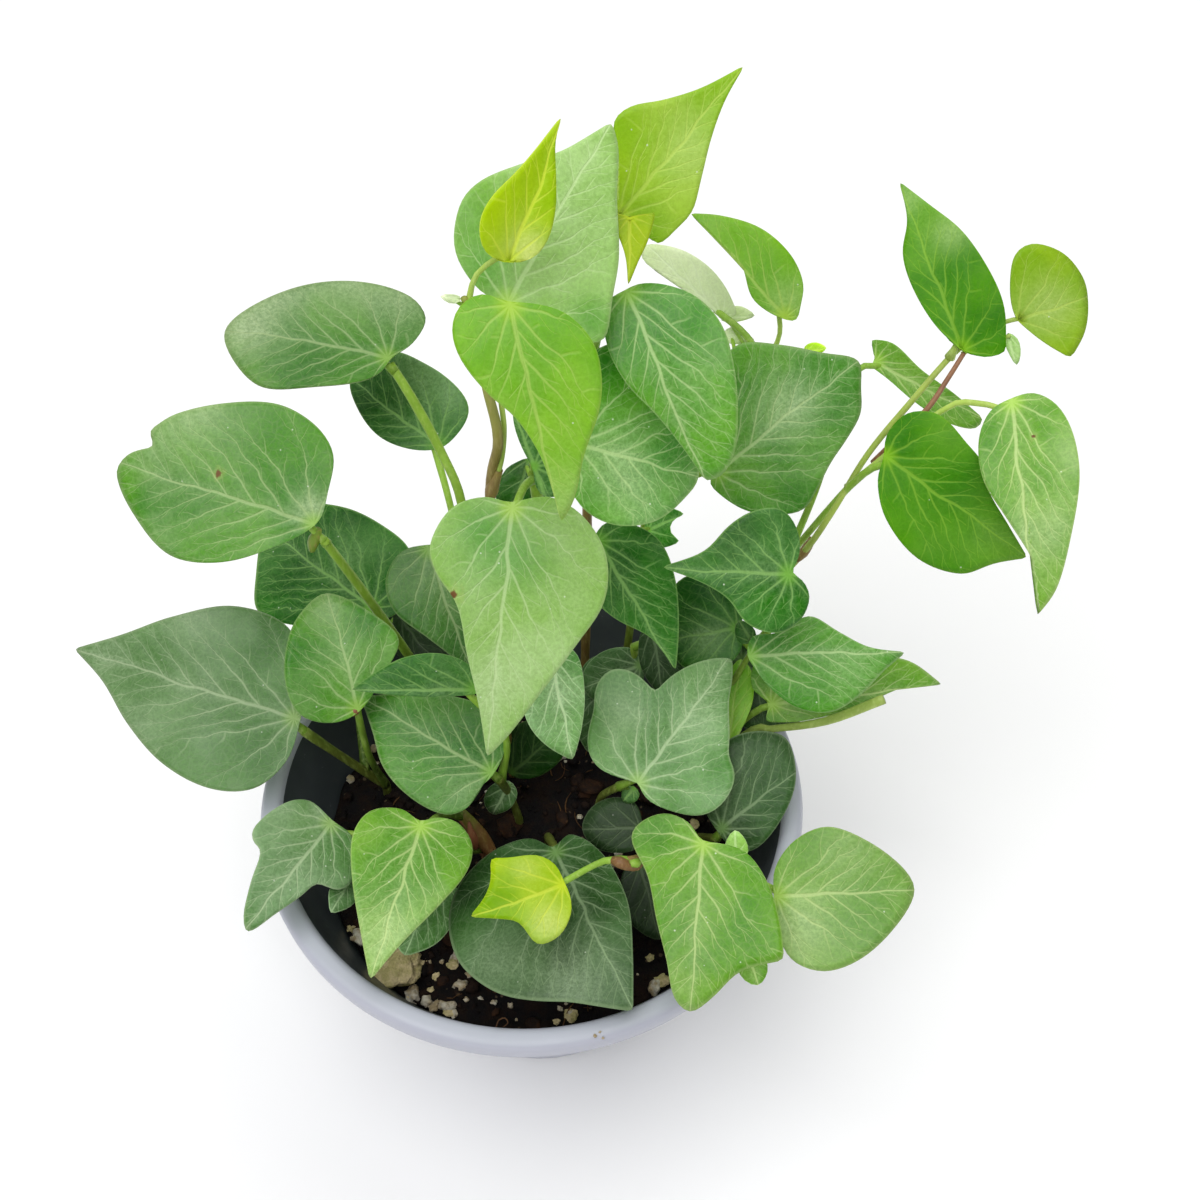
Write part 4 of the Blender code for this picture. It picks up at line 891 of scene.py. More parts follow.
def leaf_material(name, finish, body, groups):
    """A blade's upper or lower face: tissue colour, paler veins and margin, painted sheen and painted shade,
    satin gloss, vein relief.
    """
    made, nodes, shader = new_material(name)
    blade, leaf = nodes.attribute("blade"), nodes.attribute("leaf")
    _, _, reach = nodes.split(blade)
    _, lightness_with_painted_light, seed = nodes.split(leaf)
    # Painted sheen, painted shade and the side veins' lean, from the tone attribute
    pale, dark, lean = nodes.split(nodes.attribute("tone"))
    veins = nodes.group(groups["veins"], Blade=blade, Leaf=leaf, Lean=lean)
    mottle = nodes.group(groups["mottle"], Place=nodes.place(), Seed=seed)
    upper = body == finish.body
    second = finish.patch if upper else finish.body
    tissue = nodes.mix(mottle["Patches"], colour(*body), colour(*second))
    if upper:
        # Painted sheen: random pale patches, stronger towards the margin
        sheen_patch = nodes.times(mottle["Bloom"], nodes.fade(reach, 0.1, 0.9, 0.3 * SHEEN_PATCH_SHARE, SHEEN_PATCH_SHARE))
        tissue = nodes.mix(sheen_patch, tissue, colour(*finish.under))
        # Painted sheen from the tone blobs, with the pale wash beside the veins, towards a whitish colour
        sheen = nodes.times(pale, nodes.fade(mottle["Grain"], *GRAIN_RANGE, 0.8, 1.2))
        wide = HALO * finish.veins * min(1.0, 4 * finish.net)
        halo = nodes.times(veins["Halo"], nodes.fade(mottle["Grain"], *GRAIN_RANGE, 0.4 * wide, wide))
        sheen = nodes.math("MINIMUM", nodes.plus(sheen, halo), MOST_SHEEN)
        tissue = nodes.mix(sheen, tissue, nodes.mix(0.3, colour(*finish.vein), colour(*SHEEN)))
        # Painted shade from the tone blobs, taking more red and blue than green
        kept = [nodes.minus(1.0, nodes.times(dark, share)) for share in SHADE_TAKES]
        tissue = nodes.vector("MULTIPLY", tissue, nodes.join(*kept))
    grain = nodes.fade(mottle["Grain"], *GRAIN_RANGE, 1 - 0.7 * finish.net, 1 + 0.5 * finish.net)
    tissue = nodes.shaded(tissue, grain)
    tissue = nodes.mix(nodes.times(veins["Net"], finish.net * 0.5), tissue, colour(*finish.vein))
    tissue = nodes.mix(nodes.times(veins["Veins"], finish.veins), tissue, colour(*finish.vein))
    tissue = nodes.mix(nodes.times(veins["Foot"], FOOT_GLOW), tissue, colour(*finish.foot))
    tissue = nodes.mix(nodes.fade(reach, *MARGIN_BAND, 0.0, finish.margin), tissue, colour(*finish.vein))
    specks = nodes.times(mottle["Specks"], SPECK_STRENGTH if upper else 0.0)
    tissue = nodes.mix(specks, tissue, colour(*SPECK))
    # How light each leaf is: partly its own colour, partly painted light and painted shade
    tissue = nodes.shaded(tissue, lightness_with_painted_light)
    if upper:
        blemish = nodes.group(groups["blemish"], Blade=blade, Mark=nodes.attribute("mark"))
        tissue = nodes.mix(nodes.times(blemish["Halo"], SCAR_EDGE_STRENGTH), tissue, colour(*SCAR_EDGE))
        tissue = nodes.mix(blemish["Scar"], tissue, colour(*SCAR))
    nodes.feed(shader["Base Color"], tissue)
    gloss = finish.roughness if upper else UNDERSIDE_ROUGHNESS
    nodes.feed(shader["Roughness"], nodes.fade(mottle["Grain"], *GRAIN_RANGE, gloss - 0.06, gloss + 0.1))
    shader["Specular IOR Level"].default_value = finish.shine
    height = nodes.plus(veins["Relief"], nodes.times(mottle["Grain"], 0.2))
    relief = VEIN_RELIEF + finish.net
    nodes.feed(shader["Normal"], nodes.bump(height, VEIN_DEPTH, relief if upper else -relief))
    return made


def stalk_material(name, low, high, streak, change):
    """A stalk's skin, from its colour near the soil to its colour above, with fine lengthwise streaks."""
    made, nodes, shader = new_material(name)
    place = nodes.place()
    blotch = nodes.noise(place, 110.0, 3.0)[0]
    height = nodes.plus(nodes.split(place)[2], nodes.fade(blotch, 0.2, 0.8, -6 * MM, 6 * MM))
    skin = nodes.mix(nodes.fade(height, change[0] * MM, change[1] * MM), colour(*low), colour(*high))
    shade = nodes.fade(blotch, 0.35, 0.65, 0.82, 1.08)
    skin = nodes.shaded(skin, shade)
    grain = nodes.noise(nodes.vector("MULTIPLY", place, (1.0, 1.0, 0.25)), 1400.0, 3.0)[0]
    skin = nodes.mix(nodes.fade(grain, 0.45, 0.8, 0.0, 0.5), skin, colour(*streak))
    nodes.feed(shader["Base Color"], skin)
    nodes.feed(shader["Roughness"], nodes.fade(grain, 0.2, 0.8, 0.4, 0.58))
    shader["Specular IOR Level"].default_value = 0.3
    nodes.feed(shader["Normal"], nodes.bump(grain, 0.12 * MM, 0.5))
    return made


def pot_material(name, body, edge, top, roughness):
    """Moulded plastic: a fine skin, faint turning lines, a little dust, wiped patches, a duller rim top."""
    made, nodes, shader = new_material(name)
    place = nodes.place()
    cloud = nodes.fade(nodes.noise(place, 28.0, 4.0, 0.6)[0], 0.3, 0.7)
    skin = nodes.mix(cloud, colour(*body), colour(*edge))
    worn = nodes.plus(nodes.split(place)[2], nodes.fade(cloud, 0.0, 1.0, -0.1 * MM, 0.1 * MM))
    skin = nodes.mix(nodes.fade(worn, (RIM_HEIGHT - 0.8) * MM, RIM_HEIGHT * MM), skin, colour(*top))
    dust = nodes.fade(nodes.noise(place, 700.0, 3.0, 0.7)[0], 0.66, 0.8, 0.0, 0.35)
    skin = nodes.mix(dust, skin, colour(*DUST))
    nodes.feed(shader["Base Color"], skin)
    nodes.feed(shader["Roughness"], nodes.fade(cloud, 0.0, 1.0, roughness - 0.05, roughness + 0.08))
    rings = nodes.noise(nodes.vector("MULTIPLY", place, (6.0, 6.0, 900.0)), 1.0, 2.0)[0]
    fine = nodes.noise(place, 2600.0, 2.0)[0]
    height = nodes.plus(nodes.times(rings, 0.5), nodes.times(fine, 0.5))
    nodes.feed(shader["Normal"], nodes.bump(height, 0.05 * MM, 0.35))
    return made


def soil_material(name, dark, warm, fleck):
    """Damp potting mix: near-black peat, partly painted shade, with warm fibres and a few pale flecks."""
    made, nodes, shader = new_material(name)
    place = nodes.place()
    clod = nodes.fade(nodes.noise(place, 260.0, 5.0, 0.65)[0], 0.4, 0.66)
    mixed = nodes.mix(clod, colour(*dark), colour(*warm))
    distance, tint = nodes.cells(place, 620.0)
    chosen = nodes.math("GREATER_THAN", nodes.split(tint)[1], 0.9)
    flecks = nodes.times(nodes.fade(distance, 0.32, 0.2), chosen)
    mixed = nodes.mix(nodes.times(flecks, 0.5), mixed, colour(*fleck))
    nodes.feed(shader["Base Color"], mixed)
    nodes.feed(shader["Roughness"], nodes.fade(clod, 0.0, 1.0, 0.66, 0.95))
    shader["Specular IOR Level"].default_value = 0.15
    rough = nodes.noise(place, 900.0, 6.0, 0.7)[0]
    nodes.feed(shader["Normal"], nodes.bump(rough, 0.6 * MM, 0.9))
    return made


def stone_material(name, pale, stained):
    """Perlite and pebbles: pale porous lumps, stained where the mix has wetted them."""
    made, nodes, shader = new_material(name)
    place = nodes.place()
    stain = nodes.fade(nodes.noise(place, 380.0, 4.0, 0.6)[0], 0.36, 0.62)
    nodes.feed(shader["Base Color"], nodes.mix(stain, colour(*pale), colour(*stained)))
    shader["Roughness"].default_value = 0.9
    pores = nodes.cells(place, 1700.0)[0]
    nodes.feed(shader["Normal"], nodes.bump(pores, 0.25 * MM, 0.8))
    return made


def floor_material():
    """A matt floor that is nearly white."""
    made, nodes, shader = new_material("studio_floor")
    tone = nodes.fade(nodes.noise(nodes.place(), 3.0, 2.0)[0], 0.3, 0.7)
    nodes.feed(shader["Base Color"], nodes.mix(tone, (0.95, 0.95, 0.95, 1.0), (0.96, 0.96, 0.96, 1.0)))
    shader["Roughness"].default_value = 0.85
    shader["Specular IOR Level"].default_value = 0.1
    return made


def sight(point):
    """The place that this (u, v, z) is at, in millimetres."""
    u, v, z = point
    ray = FORWARD + RIGHTWARD * ((u - MIDDLE_PX) / FOCAL_PX) + UPWARD * ((MIDDLE_PX - v) / FOCAL_PX)
    return CAMERA + ray * ((z - CAMERA.z) / ray.z)


def smooth_path(points, step):
    """Points about this far apart on a Catmull-Rom curve through these."""
    ends = [2 * points[0] - points[1]] + points + [2 * points[-1] - points[-2]]
    path = [points[0]]
    for before, start, end, after in zip(ends, ends[1:], ends[2:], ends[3:]):
        count = max(1, round((end - start).length / step))
        for i in range(1, count + 1):
            t = i / count
            path.append(
                0.5
                * (
                    2 * start
                    + (end - before) * t
                    + (2 * before - 5 * start + 4 * end - after) * t**2
                    + (3 * start - 3 * end + after - before) * t**3
                )
            )
    return path


def point_at(path, fraction):
    """The point at this fraction of the path's length, and the path's direction there."""
    lengths = [(b - a).length for a, b in zip(path, path[1:])]
    left = fraction * sum(lengths)
    for a, b, length in zip(path, path[1:], lengths):
        if left <= length:
            break
        left -= length
    return a.lerp(b, min(1.0, left / length)), (b - a).normalized()


def leaf_axes(leaf):
    """The blade's foot, length and directions: to the tip, across, and out of its upper face."""
    base, tip = sight(leaf.base), sight(leaf.tip)
    along = (tip - base).normalized()
    outward = (CAMERA - (base + tip) / 2).normalized()
    outward = (outward - along * outward.dot(along)).normalized()
    outward = Matrix.Rotation(math.radians(leaf.roll), 3, along) @ outward
    return base, (tip - base).length, along, outward.cross(along), outward


def on_blade(leaf, pixel):
    """Where the sight line of this pixel meets the blade's flat, in millimetres along it and across it."""
    base, _, along, across, outward = leaf_axes(leaf)
    ray = sight((*pixel, 0)) - CAMERA
    place = CAMERA + ray * ((base - CAMERA).dot(outward) / ray.dot(outward)) - base
    return Vector((place.dot(along), place.dot(across)))


def leaf_outline(leaf):
    """The outline's points in the blade's flat, in millimetres along it and across it."""
    return [on_blade(leaf, [float(value) for value in pair.split(",")]) for pair in leaf.outline.split()]


def rounded(corners, step):
    """A closed outline through these corners, curved between them; a sharp turn stays a point."""
    count = len(corners)
    slopes = []
    for i, corner in enumerate(corners):
        before, after = corner - corners[i - 1], corners[(i + 1) % count] - corner
        sharp = before.angle(after) > SHARP_TURN
        slopes.append(None if sharp else (before + after) / (before.length + after.length))
    outline = []
    for i, corner in enumerate(corners):
        after = corners[(i + 1) % count]
        chord = after - corner
        leave = (slopes[i] or chord.normalized()) * chord.length
        arrive = (slopes[(i + 1) % count] or chord.normalized()) * chord.length
        steps = max(2, round(chord.length / step))
        for k in range(steps):
            t = k / steps
            outline.append(
                corner * (2 * t**3 - 3 * t**2 + 1)
                + leave * (t**3 - 2 * t**2 + t)
                + after * (3 * t**2 - 2 * t**3)
                + arrive * (t**3 - t**2)
            )
    return [
        (outline[i - 1] + 2 * spot + outline[(i + 1) % len(outline)]) / 4
        for i, spot in enumerate(outline)
    ]


def leaf_rise(leaf, length, half, x, y):
    """How far the blade stands out of its flat here: its fold, its arch and its waved edge."""
    x, y = x / length, y / half
    turn = math.atan2(y, x - WAVE_CENTRE)
    rise = leaf.fold * half * (math.sqrt(y * y + FOLD_SOFTNESS) - math.sqrt(FOLD_SOFTNESS) - 0.5 * y * y)
    rise += leaf.arch * length * 4 * x * (1 - x)
    return rise + EDGE_WAVE * half * math.sin(WAVES * turn + len(leaf.name)) * (x * x + y * y)


def new_piece(name, mesh):
    """An object of this mesh, in the scene."""
    piece = bpy.data.objects.new(name, mesh)
    bpy.context.scene.collection.objects.link(piece)
    return piece


def joined(name, pieces):
    """These objects as one, under this name."""
    bpy.ops.object.select_all(action="DESELECT")
    for piece in pieces:
        piece.select_set(True)
    bpy.context.view_layer.objects.active = pieces[0]
    bpy.ops.object.join()
    whole = bpy.context.object
    whole.name = name
    whole.data.name = name
    whole.select_set(False)
    return whole


def applied(piece):
    """The piece with its modifiers applied."""
    bpy.ops.object.select_all(action="DESELECT")
    piece.select_set(True)
    bpy.context.view_layer.objects.active = piece
    for modifier in list(piece.modifiers):
        bpy.ops.object.modifier_apply(modifier=modifier.name)
    piece.select_set(False)
    return piece


def leaf_blade(leaf, seed, materials):
    """A blade in rings round the stalk, thin, with its place on the leaf kept for the veins."""
    base, length, along, across, outward = leaf_axes(leaf)
    corners = leaf_outline(leaf)
    half = max(abs(corner.y) for corner in corners)
    outline = rounded(corners, RIM_STEP)
    rings = max(LEAST_RINGS, round(length / RING_STEP)) if length > SMALL_BLADE else SMALL_RINGS
    shape = bmesh.new()
    blade_layer = shape.verts.layers.float_vector.new("blade")
    leaf_layer = shape.verts.layers.float_vector.new("leaf")
    mark_layer = shape.verts.layers.float_vector.new("mark")
    tone_layer = shape.verts.layers.float_vector.new("tone")
    mark = (0.0, 0.0, 0.0)
    if leaf.scar:
        *pixel, radius = leaf.scar
        mark = (*on_blade(leaf, pixel), radius)
    # Blobs of painted sheen and painted shade, placed by pixel on the blade
    tones = [(on_blade(leaf, (u, v)), wide, strength) for u, v, wide, strength in leaf.tones]
    lean = min(LEAN_RANGE[1], max(LEAN_RANGE[0], LEAN_OF_SLIMNESS * length / half))

    def tone(spot):
        """How much painted sheen and painted shade the blade has here, and how its side veins lean."""
        shares = []
        for middle, wide, strength in tones:
            shares.append(strength * math.exp(-((spot - middle).length / wide) ** 2))
        return sum(max(0, share) for share in shares), -sum(min(0, share) for share in shares), lean

    def point(x, y, reach):
        """The blade's point at this share of the way from its foot to (x, y) on its edge."""
        rise = leaf_rise(leaf, length, half, x * reach, y * reach)
        vert = shape.verts.new((base + along * x * reach + across * y * reach + outward * rise) * MM)
        vert[blade_layer] = (x * reach, y * reach, reach)
        vert[leaf_layer] = (length, leaf.light, seed)
        vert[mark_layer] = mark
        vert[tone_layer] = tone(Vector((x, y)) * reach)
        return vert

    rounds = [[point(p.x, p.y, (i / rings) ** RING_EASE) for p in outline] for i in range(1, rings + 1)]
    centre = point(0.0, 0.0, 0.0)
    for i in range(len(outline)):
        j = (i + 1) % len(outline)
        shape.faces.new((centre, rounds[0][j], rounds[0][i]))
        for inner, outer in zip(rounds, rounds[1:]):
            shape.faces.new((inner[i], inner[j], outer[j], outer[i]))
    for face in shape.faces:
        face.smooth = True
    shape.normal_update()
    up = sum((face.normal for face in shape.faces), Vector())
    if up.dot(outward) < 0:
        bmesh.ops.reverse_faces(shape, faces=shape.faces)
    mesh = bpy.data.meshes.new(leaf.name)
    shape.to_mesh(mesh)
    shape.free()
    mesh.materials.append(materials[leaf.finish + "_leaf"])
    mesh.materials.append(materials[leaf.finish + "_underside"])
    blade = new_piece(leaf.name, mesh)
    thickness = blade.modifiers.new("thickness", "SOLIDIFY")
    thickness.thickness = BLADE * MM
    thickness.offset = 0.0
    thickness.material_offset = 1
    thickness.material_offset_rim = 1
    return applied(blade)


def stalk(name, path, radii, material):
    """A round stalk along the path, whose radius follows these values from its foot to its end."""
    curve = bpy.data.curves.new(name, "CURVE")
    curve.dimensions = "3D"
    curve.bevel_depth = 1.0 * MM
    curve.bevel_resolution = STALK_SIDES
    curve.use_fill_caps = True
    spline = curve.splines.new("POLY")
    spline.points.add(len(path) - 1)
    for i, (target, place) in enumerate(zip(spline.points, path)):
        spot = i / (len(path) - 1) * (len(radii) - 1)
        low = min(int(spot), len(radii) - 2)
        target.co = (*(place * MM), 1.0)
        target.radius = radii[low] + (radii[low + 1] - radii[low]) * (spot - low)
    spline.use_smooth = True
    guide = bpy.data.objects.new(name + "_guide", curve)
    bpy.context.scene.collection.objects.link(guide)
    bpy.context.view_layer.update()
    graph = bpy.context.evaluated_depsgraph_get()
    mesh = bpy.data.meshes.new_from_object(guide.evaluated_get(graph))
    bpy.data.objects.remove(guide)
    sewn = bmesh.new()
    sewn.from_mesh(mesh)
    bmesh.ops.remove_doubles(sewn, verts=sewn.verts, dist=WELD)
    bmesh.ops.recalc_face_normals(sewn, faces=sewn.faces)
    for face in sewn.faces:
        face.smooth = True
    sewn.to_mesh(mesh)
    sewn.free()
    mesh.materials.clear()
    mesh.materials.append(material)
    return new_piece(name, mesh)


def leaf_stalk(leaf, stem_path, material):
    """The petiole, from inside the stem to a little way under the blade, with a swollen foot and end."""
    start, heading = point_at(stem_path, min(leaf.at, LAST_FOOT))
    base, length, along, across, outward = leaf_axes(leaf)
    half = max(abs(corner.y) for corner in leaf_outline(leaf))
    inside = min(STALK_INSIDE, INSIDE_SHARE * length)
    end = base + along * inside + outward * (leaf_rise(leaf, length, half, inside, 0.0) - UNDER_BLADE)
    reach = (end - start).length
    points = [start] + [sight(place) for place in leaf.via]
    if not leaf.via and reach > LONG_STALK:
        early = start + (heading + (end - start).normalized()).normalized() * reach * BEND_SHARE
        late = end - (along * BEND_LEAN + (end - start).normalized()).normalized() * reach * BEND_SHARE
        points.append(early.lerp(late, 0.5))
    points.append(end)
    radius = min(PETIOLE, LEAST_PETIOLE + length / LENGTH_PER_RADIUS) * leaf.slim
    radii = [radius * swell for swell in PETIOLE_SWELL]
    return stalk(leaf.name + "_stalk", smooth_path(points, STALK_STEP), radii, material)


def stem_path(stem):
    """The stem's own path, upright where it stands in the soil."""
    x, y = stem.root
    foot = Vector((x, y, SOIL_TOP - ROOT_DEPTH))
    collar = Vector((x, y, SOIL_TOP + UPRIGHT))
    return [foot] + smooth_path([collar] + [sight(place) for place in stem.points], STALK_STEP)


def leafy_stem(name, stem, draw, materials):
    """One leafy stem: the stem, its petioles and its blades, in place of the plain one."""
    path = stem_path(stem)
    radii = [value * draw.uniform(*STEM_VARIATION) for value in stem.radii]
    pieces = [stalk(name + "_axis", path, radii, materials[stem.bark])]
    for leaf in stem.leaves:
        pieces.append(leaf_blade(leaf, draw.uniform(0, SEED_RANGE), materials))
        pieces.append(leaf_stalk(leaf, path, materials[leaf.stalk]))
    if name == CUT_STEM:
        points = [point_at(path, CUT_STALK_FOOT)[0]] + [sight(place) for place in CUT_STALK]
        route = smooth_path(points, STALK_STEP)
        pieces.append(stalk("cut_stalk", route, CUT_STALK_RADII, materials["stalk_pale"]))
    for owner, skin, thickness, points in STRANDS:
        if owner == name:
            route = smooth_path([sight(place) for place in points], STALK_STEP / 2)
            pieces.append(stalk(owner + "_strand", route, thickness, materials[skin]))
    piece = joined(name.replace("stem_", "ivy_"), pieces)
    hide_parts(name)
    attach(piece, "root")


def body_radius(z):
    """The pot's outer radius at this height, below the collar."""
    return BASE_RADIUS + (BODY_TOP_RADIUS - BASE_RADIUS) * z / COLLAR


def turned(name, profile):
    """A turned shape: a circle extruded and resized from ring to ring, each (radius, height), ends closed."""
    radius, height = profile[0]
    bpy.ops.mesh.primitive_circle_add(vertices=TURN_STEPS, radius=radius * MM, location=(0, 0, height * MM))
    piece = bpy.context.object
    piece.name = name
    piece.data.name = name
    bpy.ops.object.transform_apply(location=True, rotation=True, scale=True)
    bpy.ops.object.mode_set(mode="EDIT")
    bpy.ops.mesh.select_mode(type="EDGE")
    bpy.ops.mesh.select_all(action="SELECT")
    for next_radius, next_height in profile[1:]:
        rise = (0, 0, (next_height - height) * MM)
        bpy.ops.mesh.extrude_region_move(TRANSFORM_OT_translate={"value": rise})
        grown = next_radius / radius
        bpy.ops.transform.resize(value=(grown, grown, 1), center_override=(0, 0, 0))
        radius, height = next_radius, next_height
    bpy.ops.mesh.edge_face_add()
    bpy.ops.mesh.select_all(action="DESELECT")
    bpy.ops.mesh.select_non_manifold()
    bpy.ops.mesh.edge_face_add()
    bpy.ops.mesh.select_all(action="SELECT")
    bpy.ops.mesh.normals_make_consistent(inside=False)
    bpy.ops.object.mode_set(mode="OBJECT")
    bpy.ops.object.select_all(action="DESELECT")
    return piece


def pot_profile():
    """From the floor's upper face up the inside, over the rim and down to the foot."""
    return [
        (body_radius(FLOOR) - WALL - 1.2, FLOOR),
        (body_radius(FLOOR + 1.4) - WALL, FLOOR + 1.4),
        (body_radius(COLLAR) - WALL, COLLAR),
        (FLANGE_INNER - 0.9, RIM_HEIGHT - 1.6),
        (FLANGE_INNER - 0.5, RIM_HEIGHT - 0.8),
        (FLANGE_INNER + 0.1, RIM_HEIGHT - 0.2),
        (FLANGE_INNER + 0.9, RIM_HEIGHT),
        (RIM_RADIUS - 1.8, RIM_HEIGHT),
        (RIM_RADIUS - 1.0, RIM_HEIGHT - 0.18),
        (RIM_RADIUS - 0.4, RIM_HEIGHT - 0.6),
        (RIM_RADIUS, RIM_HEIGHT - 1.6),
        (RIM_RADIUS - 0.2, COLLAR + 0.9),
        (RIM_RADIUS - 0.5, COLLAR + 0.25),
        (RIM_RADIUS - 1.0, COLLAR),
        (body_radius(COLLAR) + 0.3, COLLAR),
        (body_radius(COLLAR - 0.6), COLLAR - 0.6),
        (body_radius(FOOT_CHAMFER), FOOT_CHAMFER),
        (body_radius(0) - FOOT_CHAMFER * 0.3, 0.3),
        (body_radius(0) - FOOT_CHAMFER, 0),
    ]


def pot(materials):
    """The pot: turned wall and rim, with drain holes through its floor and an inside painted dark as painted
    shade.
    """
    shell = turned("pot_shell", pot_profile())
    for i in range(DRAIN_HOLES):
        turn = 2 * math.pi * (i + 0.5) / DRAIN_HOLES
        bpy.ops.mesh.primitive_cylinder_add(
            vertices=DRAIN_SIDES,
            radius=DRAIN_RADIUS * MM,
            depth=3 * FLOOR * MM,
            location=(DRAIN_RING * math.cos(turn) * MM, DRAIN_RING * math.sin(turn) * MM, FLOOR / 2 * MM),
        )
        drill = bpy.context.object
        hole = shell.modifiers.new("drain", "BOOLEAN")
        hole.operation = "DIFFERENCE"
        hole.solver = "EXACT"
        hole.object = drill
        applied(shell)
        bpy.data.objects.remove(drill)
    shell.data.materials.clear()
    shell.data.materials.append(materials["pot_outside"])
    shell.data.materials.append(materials["pot_inside"])
    # Inside faces take the dark inside material, painted shade
    for face in shell.data.polygons:
        face.use_smooth = True
        outward = Vector((face.center.x, face.center.y, 0)).normalized().dot(face.normal)
        inside = outward < INWARD and face.center.z < INSIDE_TOP * MM
        face.material_index = 1 if inside else 0
    shell.data.set_sharp_from_angle(angle=POT_EDGE)
    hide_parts("pot")
    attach(shell, "root")


def soil_height(x, y):
    """The height of the soil's lumpy surface here, in millimetres."""
    spread = math.hypot(x, y) / body_radius(SOIL_TOP)
    lumps = noise.fractal(Vector((x, y, 3.0)) * CLOD_SCALE, 0.6, 2.1, CLOD_LAYERS)
    return SOIL_TOP + SOIL_CROWN * (1 - spread * spread) + CLOD_HEIGHT * lumps - CLOD_SINK


def soil_bed(materials):
    """The filling, whose top is a fine grid raised into clods."""
    inside = WALL + SEAT_GAP
    top_radius = body_radius(SOIL_TOP) - inside - 0.6
    profile = [(top_radius * (i + 1) / SOIL_RINGS, SOIL_TOP) for i in range(SOIL_RINGS)]
    profile += [
        (body_radius(SOIL_TOP - 2.5) - inside, SOIL_TOP - 2.5),
        (body_radius(FLOOR + 2.2) - inside, FLOOR + 2.2),
        (body_radius(FLOOR) - inside - 2.2, FLOOR + SEAT_GAP),
    ]
    bed = turned("soil_bed", profile)
    for vert in bed.data.vertices:
        x, y, z = vert.co / MM
        if z > SOIL_TOP - 1:
            vert.co.z = soil_height(x, y) * MM
    for face in bed.data.polygons:
        face.use_smooth = True
    bed.data.materials.append(materials["soil_mix"])
    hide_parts("soil")
    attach(bed, "root")


# Shapes of the lumps: swelling, waves across a lump, how they are turned in radians and stretched
LUMP_SWELL = 0.55
LUMP_SCALE = 1.3
KNOB_SWELL = 0.22
KNOB_SCALE = 3.1
LUMP_TURN = 6.28
LUMP_TILT = 0.6
LUMP_WIDTH = (0.75, 1.3)
LUMP_HEIGHT = (0.7, 1.1)


def lump(seed, kind, material):
    """One rough grain, 1 in radius, to be copied at its own size and turn."""
    bpy.ops.mesh.primitive_ico_sphere_add(subdivisions=kind.detail, radius=1.0, location=(0, 0, 0))
    grain = bpy.context.object
    for vert in grain.data.vertices:
        swell = 1 + LUMP_SWELL * noise.noise(vert.co * LUMP_SCALE + Vector((seed, 0, 0)))
        swell += KNOB_SWELL * noise.noise(vert.co * KNOB_SCALE + Vector((0, seed, 0)))
        vert.co *= swell
        vert.co.z *= kind.squash
    grain.data.materials.append(material)
    for face in grain.data.polygons:
        face.use_smooth = True
    grain.select_set(False)
    return grain


def scattered(name, lumps, spots, draw):
    """Copies of these lumps, each with its own mesh, at these (x, y, height, size), as one piece."""
    pieces = []
    for x, y, z, size in spots:
        mesh = draw.choice(lumps).data.copy()
        turn = Matrix.Rotation(draw.uniform(0, LUMP_TURN), 4, "Z")
        turn = turn @ Matrix.Rotation(draw.uniform(-LUMP_TILT, LUMP_TILT), 4, "X")
        sizes = [draw.uniform(*LUMP_WIDTH), draw.uniform(*LUMP_WIDTH), draw.uniform(*LUMP_HEIGHT)]
        place = Matrix.Translation(Vector((x, y, z)) * MM) @ turn @ Matrix.Diagonal((*sizes, 1))
        mesh.transform(place @ Matrix.Scale(size * MM, 4))
        pieces.append(new_piece(name, mesh))
    whole = joined(name, pieces)
    for grain in lumps:
        bpy.data.objects.remove(grain)
    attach(whole, "root")


# Perlite and pebbles that the photograph shows on the soil: (u, v, radius in millimetres)
SHOWN_STONES = [
    (346, 945, 2.1), (412, 990, 1.5), (425, 1000, 1.2), (447, 1004, 1.6), (461, 984, 1.2), (470, 972, 0.9),
    (456, 955, 1.4), (340, 728, 1.2), (341, 776, 1.0), (484, 866, 1.2), (418, 962, 1.1), (452, 1012, 1.1),
    (433, 1004, 1.0), (466, 998, 0.6), (480, 996, 0.5), (494, 1000, 0.6), (655, 985, 1.4), (572, 1012, 1.0),
    (560, 1008, 0.6), (648, 930, 1.0), (510, 1003, 0.7), (366, 868, 0.8), (358, 722, 0.8), (400, 958, 0.7),
]
SHOWN_PEBBLES = [(394, 968, 4.3), (662, 978, 1.6)]
SHOWN_TAN = [
    (448, 1012, 1.0), (572, 1014, 1.1), (452, 962, 1.2), (436, 974, 0.8), (350, 925, 0.9), (487, 868, 1.0),
    (650, 955, 0.8), (556, 1018, 0.6), (402, 1002, 0.8), (430, 986, 0.6),
]

# Pale grains and a curled root hair on the rim
RIM_GRAINS = [(595, 1036, 0.35), (603, 1038, 0.28), (600, 1032, 0.22)]
ROOT_HAIR = [(496, 1027, 76.2), (499, 1020, 76.0), (505, 1018, 75.8), (508, 1023, 75.8), (503, 1027, 75.4)]

# What is strewn: material, how many shapes it has, their first seed and the step to the next, how flat and
# how fine they are, how many lie there, their radii in millimetres, and the share of these that they rise by
STREWN = [
    Strewn("soil_crumbs", "soil_crumb", 5, 10.0, 7, 0.75, 2, 620, 0.35, 1.7, 0.1),
    Strewn("bark_chips", "bark", 4, 60.0, 5, 0.3, 2, 90, 0.9, 3.0, 0.25),
    Strewn("perlite", "perlite", 4, 90.0, 3, 0.85, 3, 85, 0.25, 1.3, 0.2),
    Strewn("pebbles", "pebble", 3, 130.0, 9, 0.8, 4, 10, 0.5, 1.6, 0.2),
]
PEBBLE_RISE = 0.35
STONE_RISE = 0.2
FEW_LARGE = 2.2
FIBRES = 70
FIBRE_LENGTH = (2.0, 7.0)


